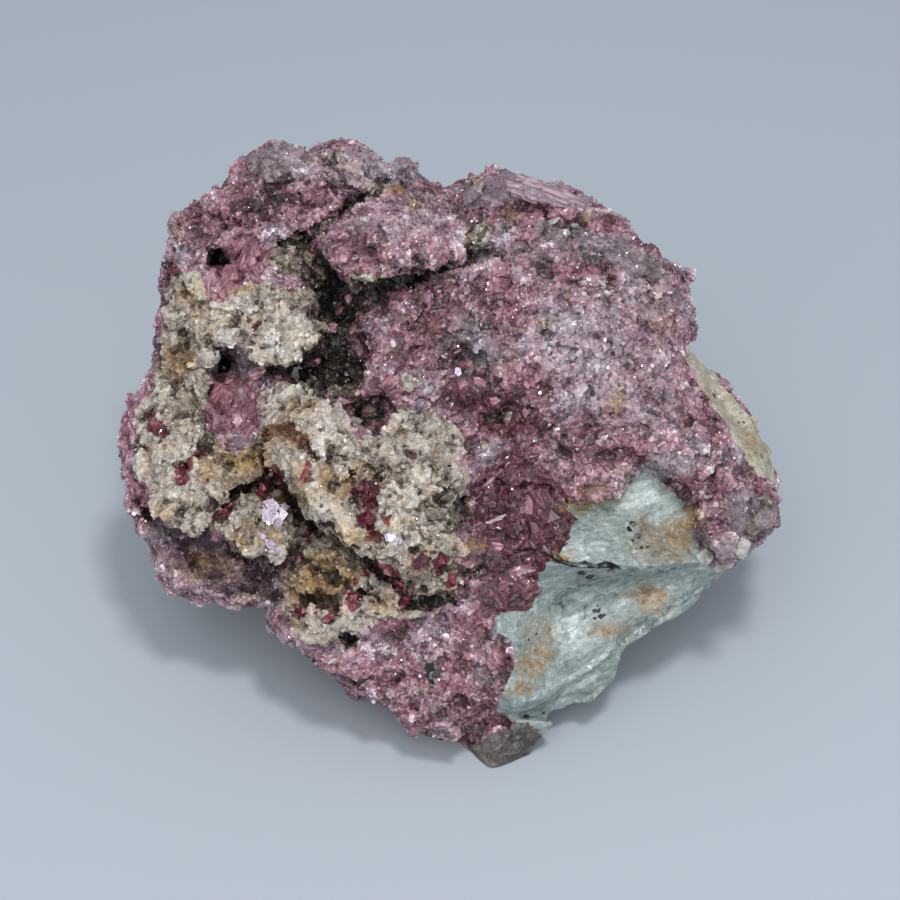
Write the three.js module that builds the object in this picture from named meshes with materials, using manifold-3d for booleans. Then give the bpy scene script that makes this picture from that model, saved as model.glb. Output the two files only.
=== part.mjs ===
// Raw lepidolite, a broken hand specimen of pink mica rock grown together with
// cream albite, a pale green albite slab and grey quartz. It is one natural piece.
//
// The block lies on a flat break. Its broad face leans back, and what is on that face
// is placed in the face's own frame, in millimetres: u to the right, v up along the
// face, w out of it. The row frame has +Z up, +X to the right and the face looking
// towards -Y, with the origin under the middle of the block.

import * as THREE from 'three';
import { mergeVertices } from 'three/addons/utils/BufferGeometryUtils.js';
import { ImprovedNoise } from 'three/addons/math/ImprovedNoise.js';
import Module from 'manifold-3d';

const wasm = await Module();
wasm.setup();

// Driving dimensions, in millimetres and degrees.
const faceElevation = 42;    // the face's axis w points this far above the horizon
const centreHeight = 31;     // the face frame's origin above the resting break
const flareLength = 312;     // the block widens behind its face, by w / flareLength
const faceDepth = 9;         // how far the face stands in front of the widest line
const faceCorner = 3;        // how square the face's rim is; 2 would be an ellipse
const backDepth = 50;        // how far the block reaches behind the widest line
const backRound = 0.95;      // how full the back is; 1 would be half a ball
const widestLean = -0.2;     // w along the widest line for each millimetre of v
const detail = 20;           // subdivisions of the ball that is shaped into the block
const faceShare = 0.2;       // moves the ball's points forward, for a finer face
const faceBand = 0.3;        // band inside the outline over which the face's shapes fade in
const flatBand = 0.1;        // narrower band for the flats, so that they end in an edge

// The block's widest outline, counter-clockwise from the right, in u and v.
const outline = [
  [46.5, 0.0], [43.8, 3.0], [39.5, 6.8], [36.8, 10.9], [34.2, 14.3], [34.4, 19.5],
  [34.0, 25.0], [30.5, 28.2], [26.8, 32.1], [25.0, 34.2], [22.0, 35.0], [18.3, 37.1],
  [8.7, 40.0], [4.3, 39.9], [1.8, 37.6], [-2.5, 37.4], [-6.0, 40.7], [-9.4, 41.7],
  [-11.6, 44.8], [-17.6, 45.2], [-20.5, 44.0], [-23.5, 45.3], [-27.6, 45.2],
  [-30.1, 42.6], [-34.2, 38.9], [-37.4, 36.7], [-40.1, 34.2], [-42.3, 29.4],
  [-42.3, 25.0], [-41.5, 20.6], [-42.3, 14.0], [-43.0, 9.5], [-46.2, 5.9],
  [-47.5, 3.0], [-47.4, -6.6], [-45.9, -10.6], [-42.6, -16.1], [-41.5, -19.1],
  [-38.9, -21.3], [-30.1, -22.8], [-26.1, -22.8], [-25.4, -25.0], [-22.8, -28.2],
  [-19.1, -31.6], [-13.2, -36.0], [-6.6, -39.2], [-5.1, -41.8], [1.0, -43.0],
  [3.0, -41.0], [6.0, -38.2], [10.0, -37.2], [15.5, -36.5], [17.0, -36.1],
  [22.0, -33.3], [23.8, -28.6], [26.4, -26.4], [31.6, -23.8], [38.5, -19.4],
  [44.0, -14.2], [47.7, -12.3], [49.0, -8.5], [47.1, -6.3],
];

// Lumps, ledges and hollows of the face. Each is an ellipse at u, v with radii and a turn,
// lifted out of the face or sunk into it; soft is the share of its radius over which its
// edge fades, and lean pushes it along the face so that its edge hangs over.
const relief = [
  {
    name: 'pink brow', at: [-8.1, 30.1], radii: [11, 6.2], turn: 8,
    lift: 4.5, soft: 0.2, lean: [0, -2],
  },
  { name: 'upper left shoulder', at: [-30, 33], radii: [11, 7], turn: 25, lift: 2, soft: 0.5 },
  { name: 'crest knob, left', at: [-27.6, 42], radii: [5, 3], turn: 20, lift: 2, soft: 0.4 },
  { name: 'crest knob, right', at: [-16, 41.5], radii: [6.5, 3.5], turn: -10, lift: 2, soft: 0.4 },
  {
    name: 'cream island', at: [-27.6, 18.8], radii: [11.7, 5.9], turn: -8,
    lift: 3, soft: 0.2, lean: [0.4, -1.5],
  },
  {
    name: 'cream slab', at: [-9.5, -3.4], radii: [16.5, 10], turn: -42,
    lift: 3.5, soft: 0.15, lean: [-1.2, -1.2],
  },
  { name: 'cream slab hump', at: [-17, 1], radii: [6, 4.5], turn: -42, lift: 1.5, soft: 0.5 },
  {
    name: 'left lobe', at: [-37.7, -4.1], radii: [8.5, 10.3], turn: 0,
    lift: 3, soft: 0.25, lean: [0, -1],
  },
  {
    name: 'middle lobe', at: [-28.6, -11.5], radii: [7.6, 5.3], turn: -12,
    lift: 3, soft: 0.2, lean: [0, -1.2],
  },
  {
    name: 'second ledge', at: [-12.5, -19.1], radii: [9.5, 3.2], turn: -35,
    lift: 1.8, soft: 0.25, lean: [-0.5, -0.7],
  },
  { name: 'right face swell', at: [24, 13], radii: [16, 19], turn: 0, lift: 2.5, soft: 0.9 },
  { name: 'middle swell', at: [3, 18], radii: [8, 9], turn: 0, lift: 1.5, soft: 0.7 },
  { name: 'lower right swell', at: [38, -4], radii: [8, 8], turn: 0, lift: 1.5, soft: 0.7 },
  { name: 'lower pink slope', at: [-4, -37], radii: [16, 9], turn: -20, lift: -2, soft: 0.8 },
  {
    name: 'hollow over the island', at: [-22, 27.6], radii: [5.6, 3.5], turn: -15,
    lift: -4, soft: 0.35,
  },
  {
    name: 'hollow under the brow', at: [-16.9, 22], radii: [4.4, 4], turn: 0,
    lift: -5.5, soft: 0.25,
  },
  { name: 'dark pocket', at: [-16.9, 13.9], radii: [4.9, 4.7], turn: 0, lift: -5.5, soft: 0.25 },
  {
    name: 'slot under the island', at: [-22, 10.9], radii: [8.8, 1.8], turn: 0,
    lift: -4, soft: 0.35,
  },
  { name: 'deep hole', at: [-32.9, 12.9], radii: [2.9, 2.2], turn: 0, lift: -6, soft: 0.4 },
  { name: 'crystal pocket', at: [-30.8, 8.1], radii: [5.3, 5.3], turn: 0, lift: -3, soft: 0.25 },
  { name: 'lower dark pocket', at: [-12, 5.6], radii: [3.9, 2.8], turn: 0, lift: -4.5, soft: 0.35 },
  {
    name: 'crevice right of the brow', at: [0, 26.4], radii: [8.5, 1.6], turn: 20,
    lift: -3, soft: 0.4,
  },
  { name: 'shoulder notch', at: [-31.9, 28.3], radii: [2.4, 1.5], turn: 0, lift: -4, soft: 0.4 },
  { name: 'rusty gully', at: [-18.4, -13.6], radii: [13.9, 2.8], turn: -40, lift: -4.5, soft: 0.3 },
  {
    name: 'step under the lobes', at: [-34.5, -20.5], radii: [15, 5.5], turn: -20,
    lift: -7, soft: 0.25,
  },
  { name: 'rusty vug', at: [-19.4, -21.6], radii: [3.8, 3.2], turn: 0, lift: -3, soft: 0.4 },
  { name: 'step over the foot', at: [9, -42], radii: [9, 5], turn: 20, lift: -4, soft: 0.3 },
  { name: 'raspberry hollow', at: [10.3, -9.5], radii: [7.3, 9.1], turn: 0, lift: -2, soft: 0.4 },
  { name: 'upper glint pocket', at: [0.7, 9.5], radii: [3.2, 4.4], turn: 0, lift: -1.8, soft: 0.5 },
  { name: 'lower glint pocket', at: [5.1, 3.7], radii: [5.9, 2.9], turn: 0, lift: -2, soft: 0.5 },
];

// The green slab breaks in two smooth flats: an ellipse of the face is levelled to height w
// at its middle, rising by slope for each millimetre of u and v.
const flats = [
  {
    name: 'green slab, upper', at: [26.7, -10.3], radii: [11, 7.5], turn: 15,
    height: 11, slope: [-0.1, -0.1],
  },
  {
    name: 'green slab, lower', at: [21.5, -25], radii: [20, 8], turn: 37,
    height: 11, slope: [-0.12, 0.02],
  },
];
const flatSoft = 0.15;       // share of a flat's radius over which it joins the face
const flatRoughness = 0.35;  // roughness that is left on a flat

// Lumps and hollows of the sides, back and underside: the way each looks from the middle of
// the block in the row frame, its angular radius in degrees, and how far it stands or sinks.
const sideRelief = [
  { name: 'back bulge', towards: [0.35, 1, 0.2], reach: 24, lift: 3, soft: 0.4 },
  { name: 'back scar', towards: [-0.3, 1, 0.05], reach: 22, lift: -3, soft: 0.25 },
  { name: 'back pit', towards: [0.05, 1, -0.35], reach: 9, lift: -3.5, soft: 0.4 },
  { name: 'back shelf', towards: [-0.1, 0.8, 0.75], reach: 15, lift: 2.5, soft: 0.2 },
  { name: 'left scar', towards: [-1, 0.35, 0], reach: 20, lift: -3, soft: 0.3 },
  { name: 'left knob', towards: [-1, 0.3, -0.45], reach: 10, lift: 2.5, soft: 0.4 },
  { name: 'right shelf', towards: [1, 0.45, 0.15], reach: 16, lift: 2.5, soft: 0.2 },
  { name: 'right hollow', towards: [1, 0.25, -0.35], reach: 13, lift: -3, soft: 0.35 },
  { name: 'underside hollow, left', towards: [-0.8, -0.45, -0.75], reach: 15, lift: -3, soft: 0.35 },
  { name: 'underside hollow, right', towards: [0.85, -0.4, -0.7], reach: 15, lift: -3, soft: 0.35 },
  { name: 'underside ledge', towards: [0.45, -0.75, -0.8], reach: 10, lift: 2.5, soft: 0.25 },
];

// Crystals with flat faces that stand out of the face: place on the face, size along their
// own x, y and z, number of sides, turn about w, tip about u and v, and how far their middle
// is sunk below the surface.
const crystals = [
  {
    name: 'top quartz blade', at: [14.5, 36.5], size: [15, 5, 5],
    sides: 4, turn: -17, tip: [25, 0], sink: 0.5,
  },
  {
    name: 'top quartz block', at: [6.5, 36], size: [7, 8, 7],
    sides: 5, turn: 20, tip: [30, -10], sink: 1.5,
  },
  {
    name: 'lower top blade', at: [15, 33], size: [11, 3.5, 4],
    sides: 4, turn: -12, tip: [35, 0], sink: 0.8,
  },
  { name: 'right tip', at: [44, -10], size: [6, 7, 8], sides: 5, turn: 10, tip: [-20, 35], sink: 2 },
  {
    name: 'right quartz', at: [39.5, -14.5], size: [9, 6, 7],
    sides: 5, turn: 35, tip: [15, -10], sink: 1.5,
  },
  { name: 'back plate', at: [40.5, 5.5], size: [15, 6, 8], sides: 6, turn: -50, tip: [0, 15], sink: 6 },
  {
    name: 'pocket crystal', at: [-30.8, 7], size: [7, 7, 8],
    sides: 6, turn: 10, tip: [35, -25], sink: 1.5,
  },
  {
    name: 'pocket crystal, small', at: [-27, 9.5], size: [4.5, 5, 6],
    sides: 6, turn: 40, tip: [-20, 30], sink: 1,
  },
  { name: 'left crystal', at: [-32.8, 24], size: [7, 5, 6], sides: 4, turn: 5, tip: [30, 10], sink: 1 },
  {
    name: 'raspberry crystal', at: [13, -12.5], size: [6, 6.5, 7],
    sides: 6, turn: 25, tip: [30, 30], sink: 2,
  },
  {
    name: 'raspberry crystal, upper', at: [8, -5.5], size: [5, 5.5, 6],
    sides: 6, turn: -20, tip: [-30, 35], sink: 1.5,
  },
  { name: 'glint crystal', at: [2, 8.5], size: [4, 4, 5], sides: 6, turn: 15, tip: [35, 25], sink: 1 },
];
const crystalTaper = 0.75;  // share of a crystal's width left at its outer end
const crystalSlant = 0.35;  // rise of its outer end for each share of its width

// The quartz foot stands on the ground at the front, in the row frame.
const foot = { size: [15.5, 13, 15], sides: 5, turn: 20, tip: [-6, 8], place: [8.2, -29, 0] };

// Flat breaks that trim the block, in the row frame: the outward normal and how far the
// break lies from the face frame's origin.
const breaks = [
  { name: 'back, low left', normal: [-0.25, 1, -0.25], reach: 36 },
  { name: 'back, low right', normal: [0.4, 1, -0.2], reach: 37 },
  { name: 'back, middle', normal: [0.05, 1, 0.25], reach: 42 },
  { name: 'back, high left', normal: [-0.35, 0.8, 0.7], reach: 50 },
  { name: 'back, high right', normal: [0.45, 0.8, 0.6], reach: 47 },
  { name: 'back corner, left', normal: [-0.85, 0.75, -0.1], reach: 45 },
  { name: 'back corner, right', normal: [0.85, 0.7, 0.1], reach: 45 },
  { name: 'underside, left', normal: [-0.75, 0.05, -0.75], reach: 41 },
  { name: 'underside, low left', normal: [-0.55, -0.35, -0.9], reach: 39 },
  { name: 'underside, right', normal: [0.7, 0.1, -0.75], reach: 40 },
  { name: 'underside, low right', normal: [0.6, -0.4, -0.8], reach: 42 },
];

const breakSway = 2.5;       // how far a break strays from its plane
const breakGrain = 13;       // over what distance it strays

// Edges of lumps and hollows stray too: by a share of their radius, over this distance.
const edgeWander = 0.2;
const edgeGrain = 4;
const sideEdgeGrain = 6;

// Small flat facets of the broken rock.
const facetSize = 9;
const facetLean = 0.55;      // how steeply they lean
const faceFacets = 0.6;      // share of that lean on the face
const facetSeed = new THREE.Vector3(7919, 104729, 1299709);

// Roughness of the broken rock: size of its lumps and how far they stand.
const roughness = [
  { size: 15, height: 1.5 },
  { size: 7, height: 0.9 },
  { size: 3.4, height: 0.6 },
];

// How far the ground cutter reaches, well past the block.
const cutterSize = 300;

const noise = new ImprovedNoise();
const elevation = THREE.MathUtils.degToRad(faceElevation);
const faceToRow = new THREE.Matrix4()
  .makeBasis(
    new THREE.Vector3(1, 0, 0),
    new THREE.Vector3(0, Math.sin(elevation), Math.cos(elevation)),
    new THREE.Vector3(0, -Math.cos(elevation), Math.sin(elevation)),
  )
  .setPosition(0, 0, centreHeight);
const blockMiddle = new THREE.Vector3(0, 0, centreHeight);

function noiseAt({ x, y, z }, size, shift) {
  return noise.noise(x / size, y / size, z / size + shift);
}

// The outline as radius against angle, read between its two nearest points.
const outlinePolar = outline
  .map(([u, v]) => ({ angle: Math.atan2(v, u), radius: Math.hypot(u, v) }))
  .sort((a, b) => a.angle - b.angle);

function outlineRadius(angle) {
  const count = outlinePolar.length;
  let next = outlinePolar.findIndex((p) => p.angle > angle);
  if (next < 0) next = 0;
  const from = outlinePolar[(next + count - 1) % count];
  const to = outlinePolar[next];
  const turn = 2 * Math.PI;
  const span = (to.angle - from.angle + turn) % turn;
  const share = ((angle - from.angle + turn) % turn) / span;
  return THREE.MathUtils.lerp(from.radius, to.radius, share);
}

// A pillow with the outline: a boxy face with evenly spread points in front, and a
// round back. The direction is a unit vector.
function pillow({ x, y, z }) {
  const across = Math.hypot(x, y);
  const front = z > 0;
  const spread = front ? Math.sqrt(1 - z) : across ** backRound;
  const radius = outlineRadius(Math.atan2(y, x)) * spread;
  const u = (radius * x) / (across || 1);
  const v = (radius * y) / (across || 1);
  const rim = (1 - spread ** faceCorner) ** (1 / faceCorner);
  const depth = front ? faceDepth * rim : -backDepth * (-z) ** backRound;
  return new THREE.Vector3(u, v, depth + widestLean * v);
}

// How far an ellipse covers a point: 1 inside, 0 outside, wandering a little at its edge.
function coverOf({ at, radii, turn, soft }, { x, y }) {
  const offset = new THREE.Vector2(x - at[0], y - at[1]);
  offset.rotateAround(new THREE.Vector2(), THREE.MathUtils.degToRad(-turn));
  const wander = edgeWander * noise.noise(x / edgeGrain + at[0], y / edgeGrain, at[1]);
  const reach = Math.hypot(offset.x / radii[0], offset.y / radii[1]) + wander;
  return 1 - THREE.MathUtils.smoothstep(reach, 1 - soft, 1 + soft);
}

// Shapes the face at p and returns the share of roughness that is left there.
function carve(p, share, flatShare) {
  const shift = new THREE.Vector3();
  for (const form of relief) {
    const [leanU, leanV] = form.lean ?? [0, 0];
    const cover = share * coverOf(form, p);
    shift.add(new THREE.Vector3(leanU, leanV, form.lift).multiplyScalar(cover));
  }
  let left = 1;
  for (const { at, radii, turn, height, slope } of flats) {
    const cover = flatShare * coverOf({ at, radii, turn, soft: flatSoft }, p);
    const level = height + slope[0] * (p.x - at[0]) + slope[1] * (p.y - at[1]);
    p.z = THREE.MathUtils.lerp(p.z, level, cover);
    shift.multiplyScalar(1 - cover);
    left = THREE.MathUtils.lerp(left, flatRoughness, cover);
  }
  p.add(shift);
  return left;
}

// Lifts or sinks the sides and back at p, away from the block's middle.
function carveSides(p, share) {
  const out = p.clone().sub(blockMiddle).normalize();
  let lift = 0;
  for (const { towards, reach, lift: height, soft } of sideRelief) {
    const angle = out.angleTo(new THREE.Vector3(...towards));
    const wander = edgeWander * noiseAt(p, sideEdgeGrain, 0);
    const distance = THREE.MathUtils.radToDeg(angle) / reach + wander;
    lift += height * (1 - THREE.MathUtils.smoothstep(distance, 1 - soft, 1 + soft));
  }
  p.addScaledVector(out, lift * share);
}

// The surface breaks in small flat facets: each point takes the plane of the nearest seed
// of a jittered grid, which leans its own way.
function facetLift(p) {
  const at = p.clone().divideScalar(facetSize);
  const cell = at.clone().floor();
  let nearest = Infinity;
  let lift = 0;
  for (const x of [-1, 0, 1]) {
    for (const y of [-1, 0, 1]) {
      for (const z of [-1, 0, 1]) {
        const corner = cell.clone().add(new THREE.Vector3(x, y, z));
        THREE.MathUtils.seededRandom(1 + Math.abs(corner.dot(facetSeed)));
        const [jitter, lean] = [0, 1].map(() => new THREE.Vector3().fromArray(
          [0, 1, 2].map(() => THREE.MathUtils.seededRandom()),
        ));
        const offset = at.clone().sub(corner.add(jitter));
        if (offset.length() >= nearest) continue;
        nearest = offset.length();
        lift = facetSize * facetLean * offset.dot(lean.subScalar(0.5));
      }
    }
  }
  return lift;
}

// Cuts p back to each flat break.
function trim(p) {
  for (const { normal, reach } of breaks) {
    const out = new THREE.Vector3(...normal).normalize();
    const sway = breakSway * noiseAt(p, breakGrain, reach);
    const over = p.clone().sub(blockMiddle).dot(out) - reach - sway;
    if (over > 0) p.addScaledVector(out, -over);
  }
}

function blockGeometry() {
  const sphere = new THREE.IcosahedronGeometry(1, detail);
  sphere.deleteAttribute('normal');
  sphere.deleteAttribute('uv');
  const geometry = mergeVertices(sphere);
  const position = geometry.getAttribute('position');
  const p = new THREE.Vector3();
  const rough = [];
  const facets = [];
  for (let i = 0; i < position.count; i++) {
    const direction = new THREE.Vector3().fromBufferAttribute(position, i);
    direction.z += faceShare;
    direction.normalize();
    p.copy(pillow(direction));
    const share = THREE.MathUtils.smoothstep(direction.z, 0, faceBand);
    rough.push(carve(p, share, THREE.MathUtils.smoothstep(direction.z, 0, flatBand)));
    facets.push(THREE.MathUtils.lerp(1, faceFacets, share));
    p.x *= 1 - p.z / flareLength;
    p.y *= 1 - p.z / flareLength;
    p.applyMatrix4(faceToRow);
    trim(p);
    carveSides(p, THREE.MathUtils.smoothstep(-direction.z, 0, faceBand));
    position.setXYZ(i, p.x, p.y, p.z);
  }
  geometry.computeVertexNormals();
  const normals = geometry.getAttribute('normal');
  const normal = new THREE.Vector3();
  for (let i = 0; i < position.count; i++) {
    p.fromBufferAttribute(position, i);
    normal.fromBufferAttribute(normals, i);
    let rise = facetLift(p) * facets[i];
    roughness.forEach(({ size, height }, layer) => {
      rise += height * noiseAt(p, size, 7 * layer);
    });
    p.addScaledVector(normal, rise * rough[i]);
    position.setXYZ(i, p.x, p.y, p.z);
  }
  geometry.deleteAttribute('normal');
  return geometry;
}

// A closed solid from the merged points of a geometry.
function toSolid(geometry) {
  const bare = geometry.clone();
  bare.deleteAttribute('normal');
  bare.deleteAttribute('uv');
  const merged = mergeVertices(bare);
  return new wasm.Manifold(
    new wasm.Mesh({
      numProp: 3,
      vertProperties: merged.getAttribute('position').array,
      triVerts: new Uint32Array(merged.index.array),
    }),
  );
}

function toGeometry(solid) {
  const mesh = solid.getMesh();
  return new THREE.BufferGeometry()
    .setAttribute('position', new THREE.BufferAttribute(mesh.vertProperties, 3))
    .setIndex(new THREE.BufferAttribute(mesh.triVerts, 1));
}

// A flat-sided crystal with tapered sides and a slanting outer end, standing along its z.
function crystalGeometry([length, width, height], sides, [tipU, tipV], turn) {
  const prism = new THREE.CylinderGeometry(crystalTaper / 2, 0.5, 1, sides);
  prism.rotateX(Math.PI / 2);
  prism.rotateZ(Math.PI / sides);
  const position = prism.getAttribute('position');
  for (let i = 0; i < position.count; i++) {
    const end = position.getZ(i);
    if (end > 0) position.setZ(i, end + crystalSlant * position.getX(i));
  }
  const angles = [tipU, tipV, turn].map((angle) => THREE.MathUtils.degToRad(angle));
  return prism
    .scale(length, width, height)
    .applyMatrix4(new THREE.Matrix4().makeRotationFromEuler(new THREE.Euler(...angles)));
}

// Seats a crystal on the block where the line from the flare's apex through u, v on the
// face meets it, with its middle sunk below the surface.
function seatCrystal(block, { at, size, sides, turn, tip, sink }) {
  const apex = new THREE.Vector3(0, 0, flareLength).applyMatrix4(faceToRow);
  const target = new THREE.Vector3(at[0], at[1], 0).applyMatrix4(faceToRow);
  const towards = target.sub(apex).normalize();
  const [hit] = new THREE.Raycaster(apex, towards).intersectObject(block);
  return toSolid(
    crystalGeometry(size, sides, tip, turn)
      .applyMatrix4(new THREE.Matrix4().extractRotation(faceToRow))
      .translate(...hit.point.addScaledVector(towards, sink)),
  );
}

const block = new THREE.Mesh(blockGeometry());
const belowRest = new THREE.BoxGeometry(cutterSize, cutterSize, cutterSize)
  .translate(0, 0, -cutterSize / 2);
let rock = toSolid(block.geometry);
for (const crystal of crystals) rock = rock.add(seatCrystal(block, crystal));
rock = rock.add(
  toSolid(crystalGeometry(foot.size, foot.sides, foot.tip, foot.turn).translate(...foot.place)),
);
rock = rock.subtract(toSolid(belowRest));

const geometry = toGeometry(rock);
geometry.computeBoundingBox();
const middle = geometry.boundingBox.getCenter(new THREE.Vector3());
geometry.translate(-middle.x, -middle.y, 0);
geometry.computeVertexNormals();

const specimen = new THREE.Mesh(
  geometry,
  new THREE.MeshStandardMaterial({ color: 0x9a7080, roughness: 0.6, metalness: 0 }),
);
specimen.name = 'lepidolite_specimen';

const group = new THREE.Group();
group.add(specimen);

export default group;
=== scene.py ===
import math
import bpy
import bmesh
import numpy as np
from mathutils import Matrix, Vector
from mathutils.bvhtree import BVHTree


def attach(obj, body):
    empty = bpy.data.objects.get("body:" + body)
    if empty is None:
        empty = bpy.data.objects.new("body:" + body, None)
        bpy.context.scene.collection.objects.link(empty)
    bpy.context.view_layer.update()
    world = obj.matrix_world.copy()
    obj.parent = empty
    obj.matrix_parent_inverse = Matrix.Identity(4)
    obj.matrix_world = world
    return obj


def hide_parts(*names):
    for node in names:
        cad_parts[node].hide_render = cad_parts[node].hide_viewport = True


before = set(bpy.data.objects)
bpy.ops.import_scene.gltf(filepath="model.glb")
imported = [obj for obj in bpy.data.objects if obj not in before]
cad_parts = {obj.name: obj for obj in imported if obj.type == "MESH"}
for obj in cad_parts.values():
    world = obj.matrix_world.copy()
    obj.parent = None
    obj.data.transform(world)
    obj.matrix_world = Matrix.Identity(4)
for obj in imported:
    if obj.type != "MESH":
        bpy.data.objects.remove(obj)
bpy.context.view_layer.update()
mm = 0.001
print("frame loaded")


# the broad face has its own frame: u right, v up along it, w out of it
faceFrame = {
    "origin": Vector((-0.41, -4.26, 31.0)) * mm,
    "elevation": math.radians(42),
    "distance": 312 * mm,  # from the face to the eye that looks along w
    "lens": 85,
    "sensor": 36,
    "size": 900,           # the front view is this many pixels square
}
uAxis = Vector((1, 0, 0))
vAxis = Vector((0, math.sin(faceFrame["elevation"]), math.cos(faceFrame["elevation"])))
wAxis = uAxis.cross(vAxis)
eye = faceFrame["origin"] + wAxis * faceFrame["distance"]
focal = faceFrame["lens"] / faceFrame["sensor"] * faceFrame["size"]
halfView = faceFrame["size"] / 2


def toLinear(hexColour):
    channels = [int(hexColour[i:i + 2], 16) / 255 for i in (1, 3, 5)]
    return tuple(c / 12.92 if c <= 0.04045 else ((c + 0.055) / 1.055) ** 2.4 for c in channels) + (1.0,)


def addNode(tree, kind, inputs=None, stops=None, **settings):
    # adds one node; an input is a value, a socket, or another node, which gives its first live output
    node = tree.nodes.new(kind)
    for name, value in settings.items():
        setattr(node, name, value)
    for key, value in (inputs or {}).items():
        if isinstance(value, bpy.types.Node):
            value = next(output for output in value.outputs if output.enabled)
        if isinstance(value, bpy.types.NodeSocket):
            tree.links.new(value, node.inputs[key])
        else:
            node.inputs[key].default_value = value
    for number, (at, colour) in enumerate(stops or ()):
        if number >= len(node.color_ramp.elements):
            node.color_ramp.elements.new(at)
        node.color_ramp.elements[number].position = at
        node.color_ramp.elements[number].color = toLinear(colour)
    return node


def linkObject(name, data):
    made = bpy.data.objects.new(name, data)
    bpy.context.scene.collection.objects.link(made)
    return made


def bakeModifiers(piece):
    # the evaluated shape becomes a plain mesh and the modifiers go
    bpy.context.view_layer.update()
    evaluated = piece.evaluated_get(bpy.context.evaluated_depsgraph_get())
    mesh = bpy.data.meshes.new_from_object(evaluated)
    piece.modifiers.clear()
    piece.data = mesh
    mesh.name = piece.name


def setInputs(modifier, values):
    # modifier inputs go by socket identifier
    for item in modifier.node_group.interface.items_tree:
        if item.item_type == "SOCKET" and item.in_out == "INPUT" and item.name in values:
            modifier[item.identifier] = values[item.name]


def readVectors(mesh, name):
    flat = np.empty(len(mesh.vertices) * 3, dtype=np.float32)
    mesh.vertices.foreach_get(name, flat)
    return flat.reshape(-1, 3).astype(np.float64)


def writePositions(mesh, points):
    mesh.vertices.foreach_set("co", points.astype(np.float32).ravel())
    mesh.update()


def storeFloat(mesh, name, values):
    layer = mesh.attributes.get(name) or mesh.attributes.new(name, "FLOAT", "POINT")
    layer.data.foreach_set("value", values.astype(np.float32))


# camera
camera = linkObject("camera", bpy.data.cameras.new("camera"))
camera.data.lens = faceFrame["lens"]
camera.data.sensor_width = faceFrame["sensor"]
camera.data.clip_start = 0.01
turned = Matrix((uAxis, vAxis, wAxis)).transposed().to_4x4()
camera.matrix_world = Matrix.Translation(eye) @ turned
bpy.context.scene.camera = camera
print("camera placed")


# soft light from above, a small lamp for the sparkle, and two low fills: places in metres, power in
# watts, and the height above the middle of the floor at which they aim
lights = {
    "overhead": {"at": (-0.06, -0.34, 0.5), "aim": 0.03, "size": 0.4, "power": 1.02, "colour": "#fdfaf6"},
    "spark": {"at": (0.07, -0.14, 0.54), "aim": 0.03, "size": 0.08, "power": 1.38, "colour": "#ffffff"},
    "fillLeft": {"at": (-0.42, -0.38, 0.24), "aim": 0.02, "size": 0.4, "power": 0.78, "colour": "#f6f4f6"},
    "fillRight": {"at": (0.4, -0.45, 0.22), "aim": 0.02, "size": 0.4, "power": 0.6, "colour": "#f6f4f6"},
}


def smoothStep(low, high, values):
    share = np.clip((values - low) / (high - low), 0, 1)
    return share * share * (3 - 2 * share)


def latticeNoise(points, size, seed):
    # smooth noise from -1 to 1 with lumps of the given size
    scaled = points / size + seed * 17.31
    cell = np.floor(scaled).astype(np.int64)
    part = scaled - cell
    part = part * part * (3 - 2 * part)
    total = np.zeros(len(points))
    for corner in np.ndindex(2, 2, 2):
        at = cell + corner
        mixed = (at[:, 0] * 73856093) ^ (at[:, 1] * 19349663) ^ (at[:, 2] * 83492791) ^ (seed * 2654435)
        mixed = (mixed ^ (mixed >> 13)) * 1274126177
        value = ((mixed ^ (mixed >> 16)) & 0xFFFF) / 0x7FFF - 1
        weight = np.prod(np.where(np.array(corner) == 1, part, 1 - part), axis=1)
        total += weight * value
    return total


def frontView(points):
    # where points appear in the front view, in its pixels, and how far out of the face they lie
    offset = points - np.array(eye)
    depth = -(offset @ np.array(wAxis))
    right = halfView + focal * (offset @ np.array(uAxis)) / depth
    down = halfView - focal * (offset @ np.array(vAxis)) / depth
    return right, down, faceFrame["distance"] - depth


raggedness = {"wobble": (3 * mm, 5.0), "fine": (1.1 * mm, 3.5)}  # size, and reach in front-view pixels


def raggedView(points):
    # the front view with its places shifted a little by noise, which makes straight outlines ragged
    right, down, out = frontView(points)
    for number, (size, reach) in enumerate(raggedness.values()):
        right = right + reach * latticeNoise(points, size, 1 + 2 * number)
        down = down + reach * latticeNoise(points, size, 2 + 2 * number)
    return right, down


def insideBy(right, down, outline):
    # how far inside a polygon of the front view each point lies, in pixels, negative outside
    nearest = np.full(len(right), np.inf)
    inside = np.zeros(len(right), dtype=bool)
    for (ax, ay), (bx, by) in zip(outline, outline[1:] + outline[:1]):
        span = (bx - ax) ** 2 + (by - ay) ** 2
        share = np.clip(((right - ax) * (bx - ax) + (down - ay) * (by - ay)) / span, 0, 1)
        away = np.hypot(right - ax - share * (bx - ax), down - ay - share * (by - ay))
        nearest = np.minimum(nearest, away)
        crosses = (ay > down) != (by > down)
        slope = (bx - ax) / (by - ay) if by != ay else 0
        inside ^= crosses & (right < ax + (down - ay) * slope)
    return np.where(inside, nearest, -nearest)


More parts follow.
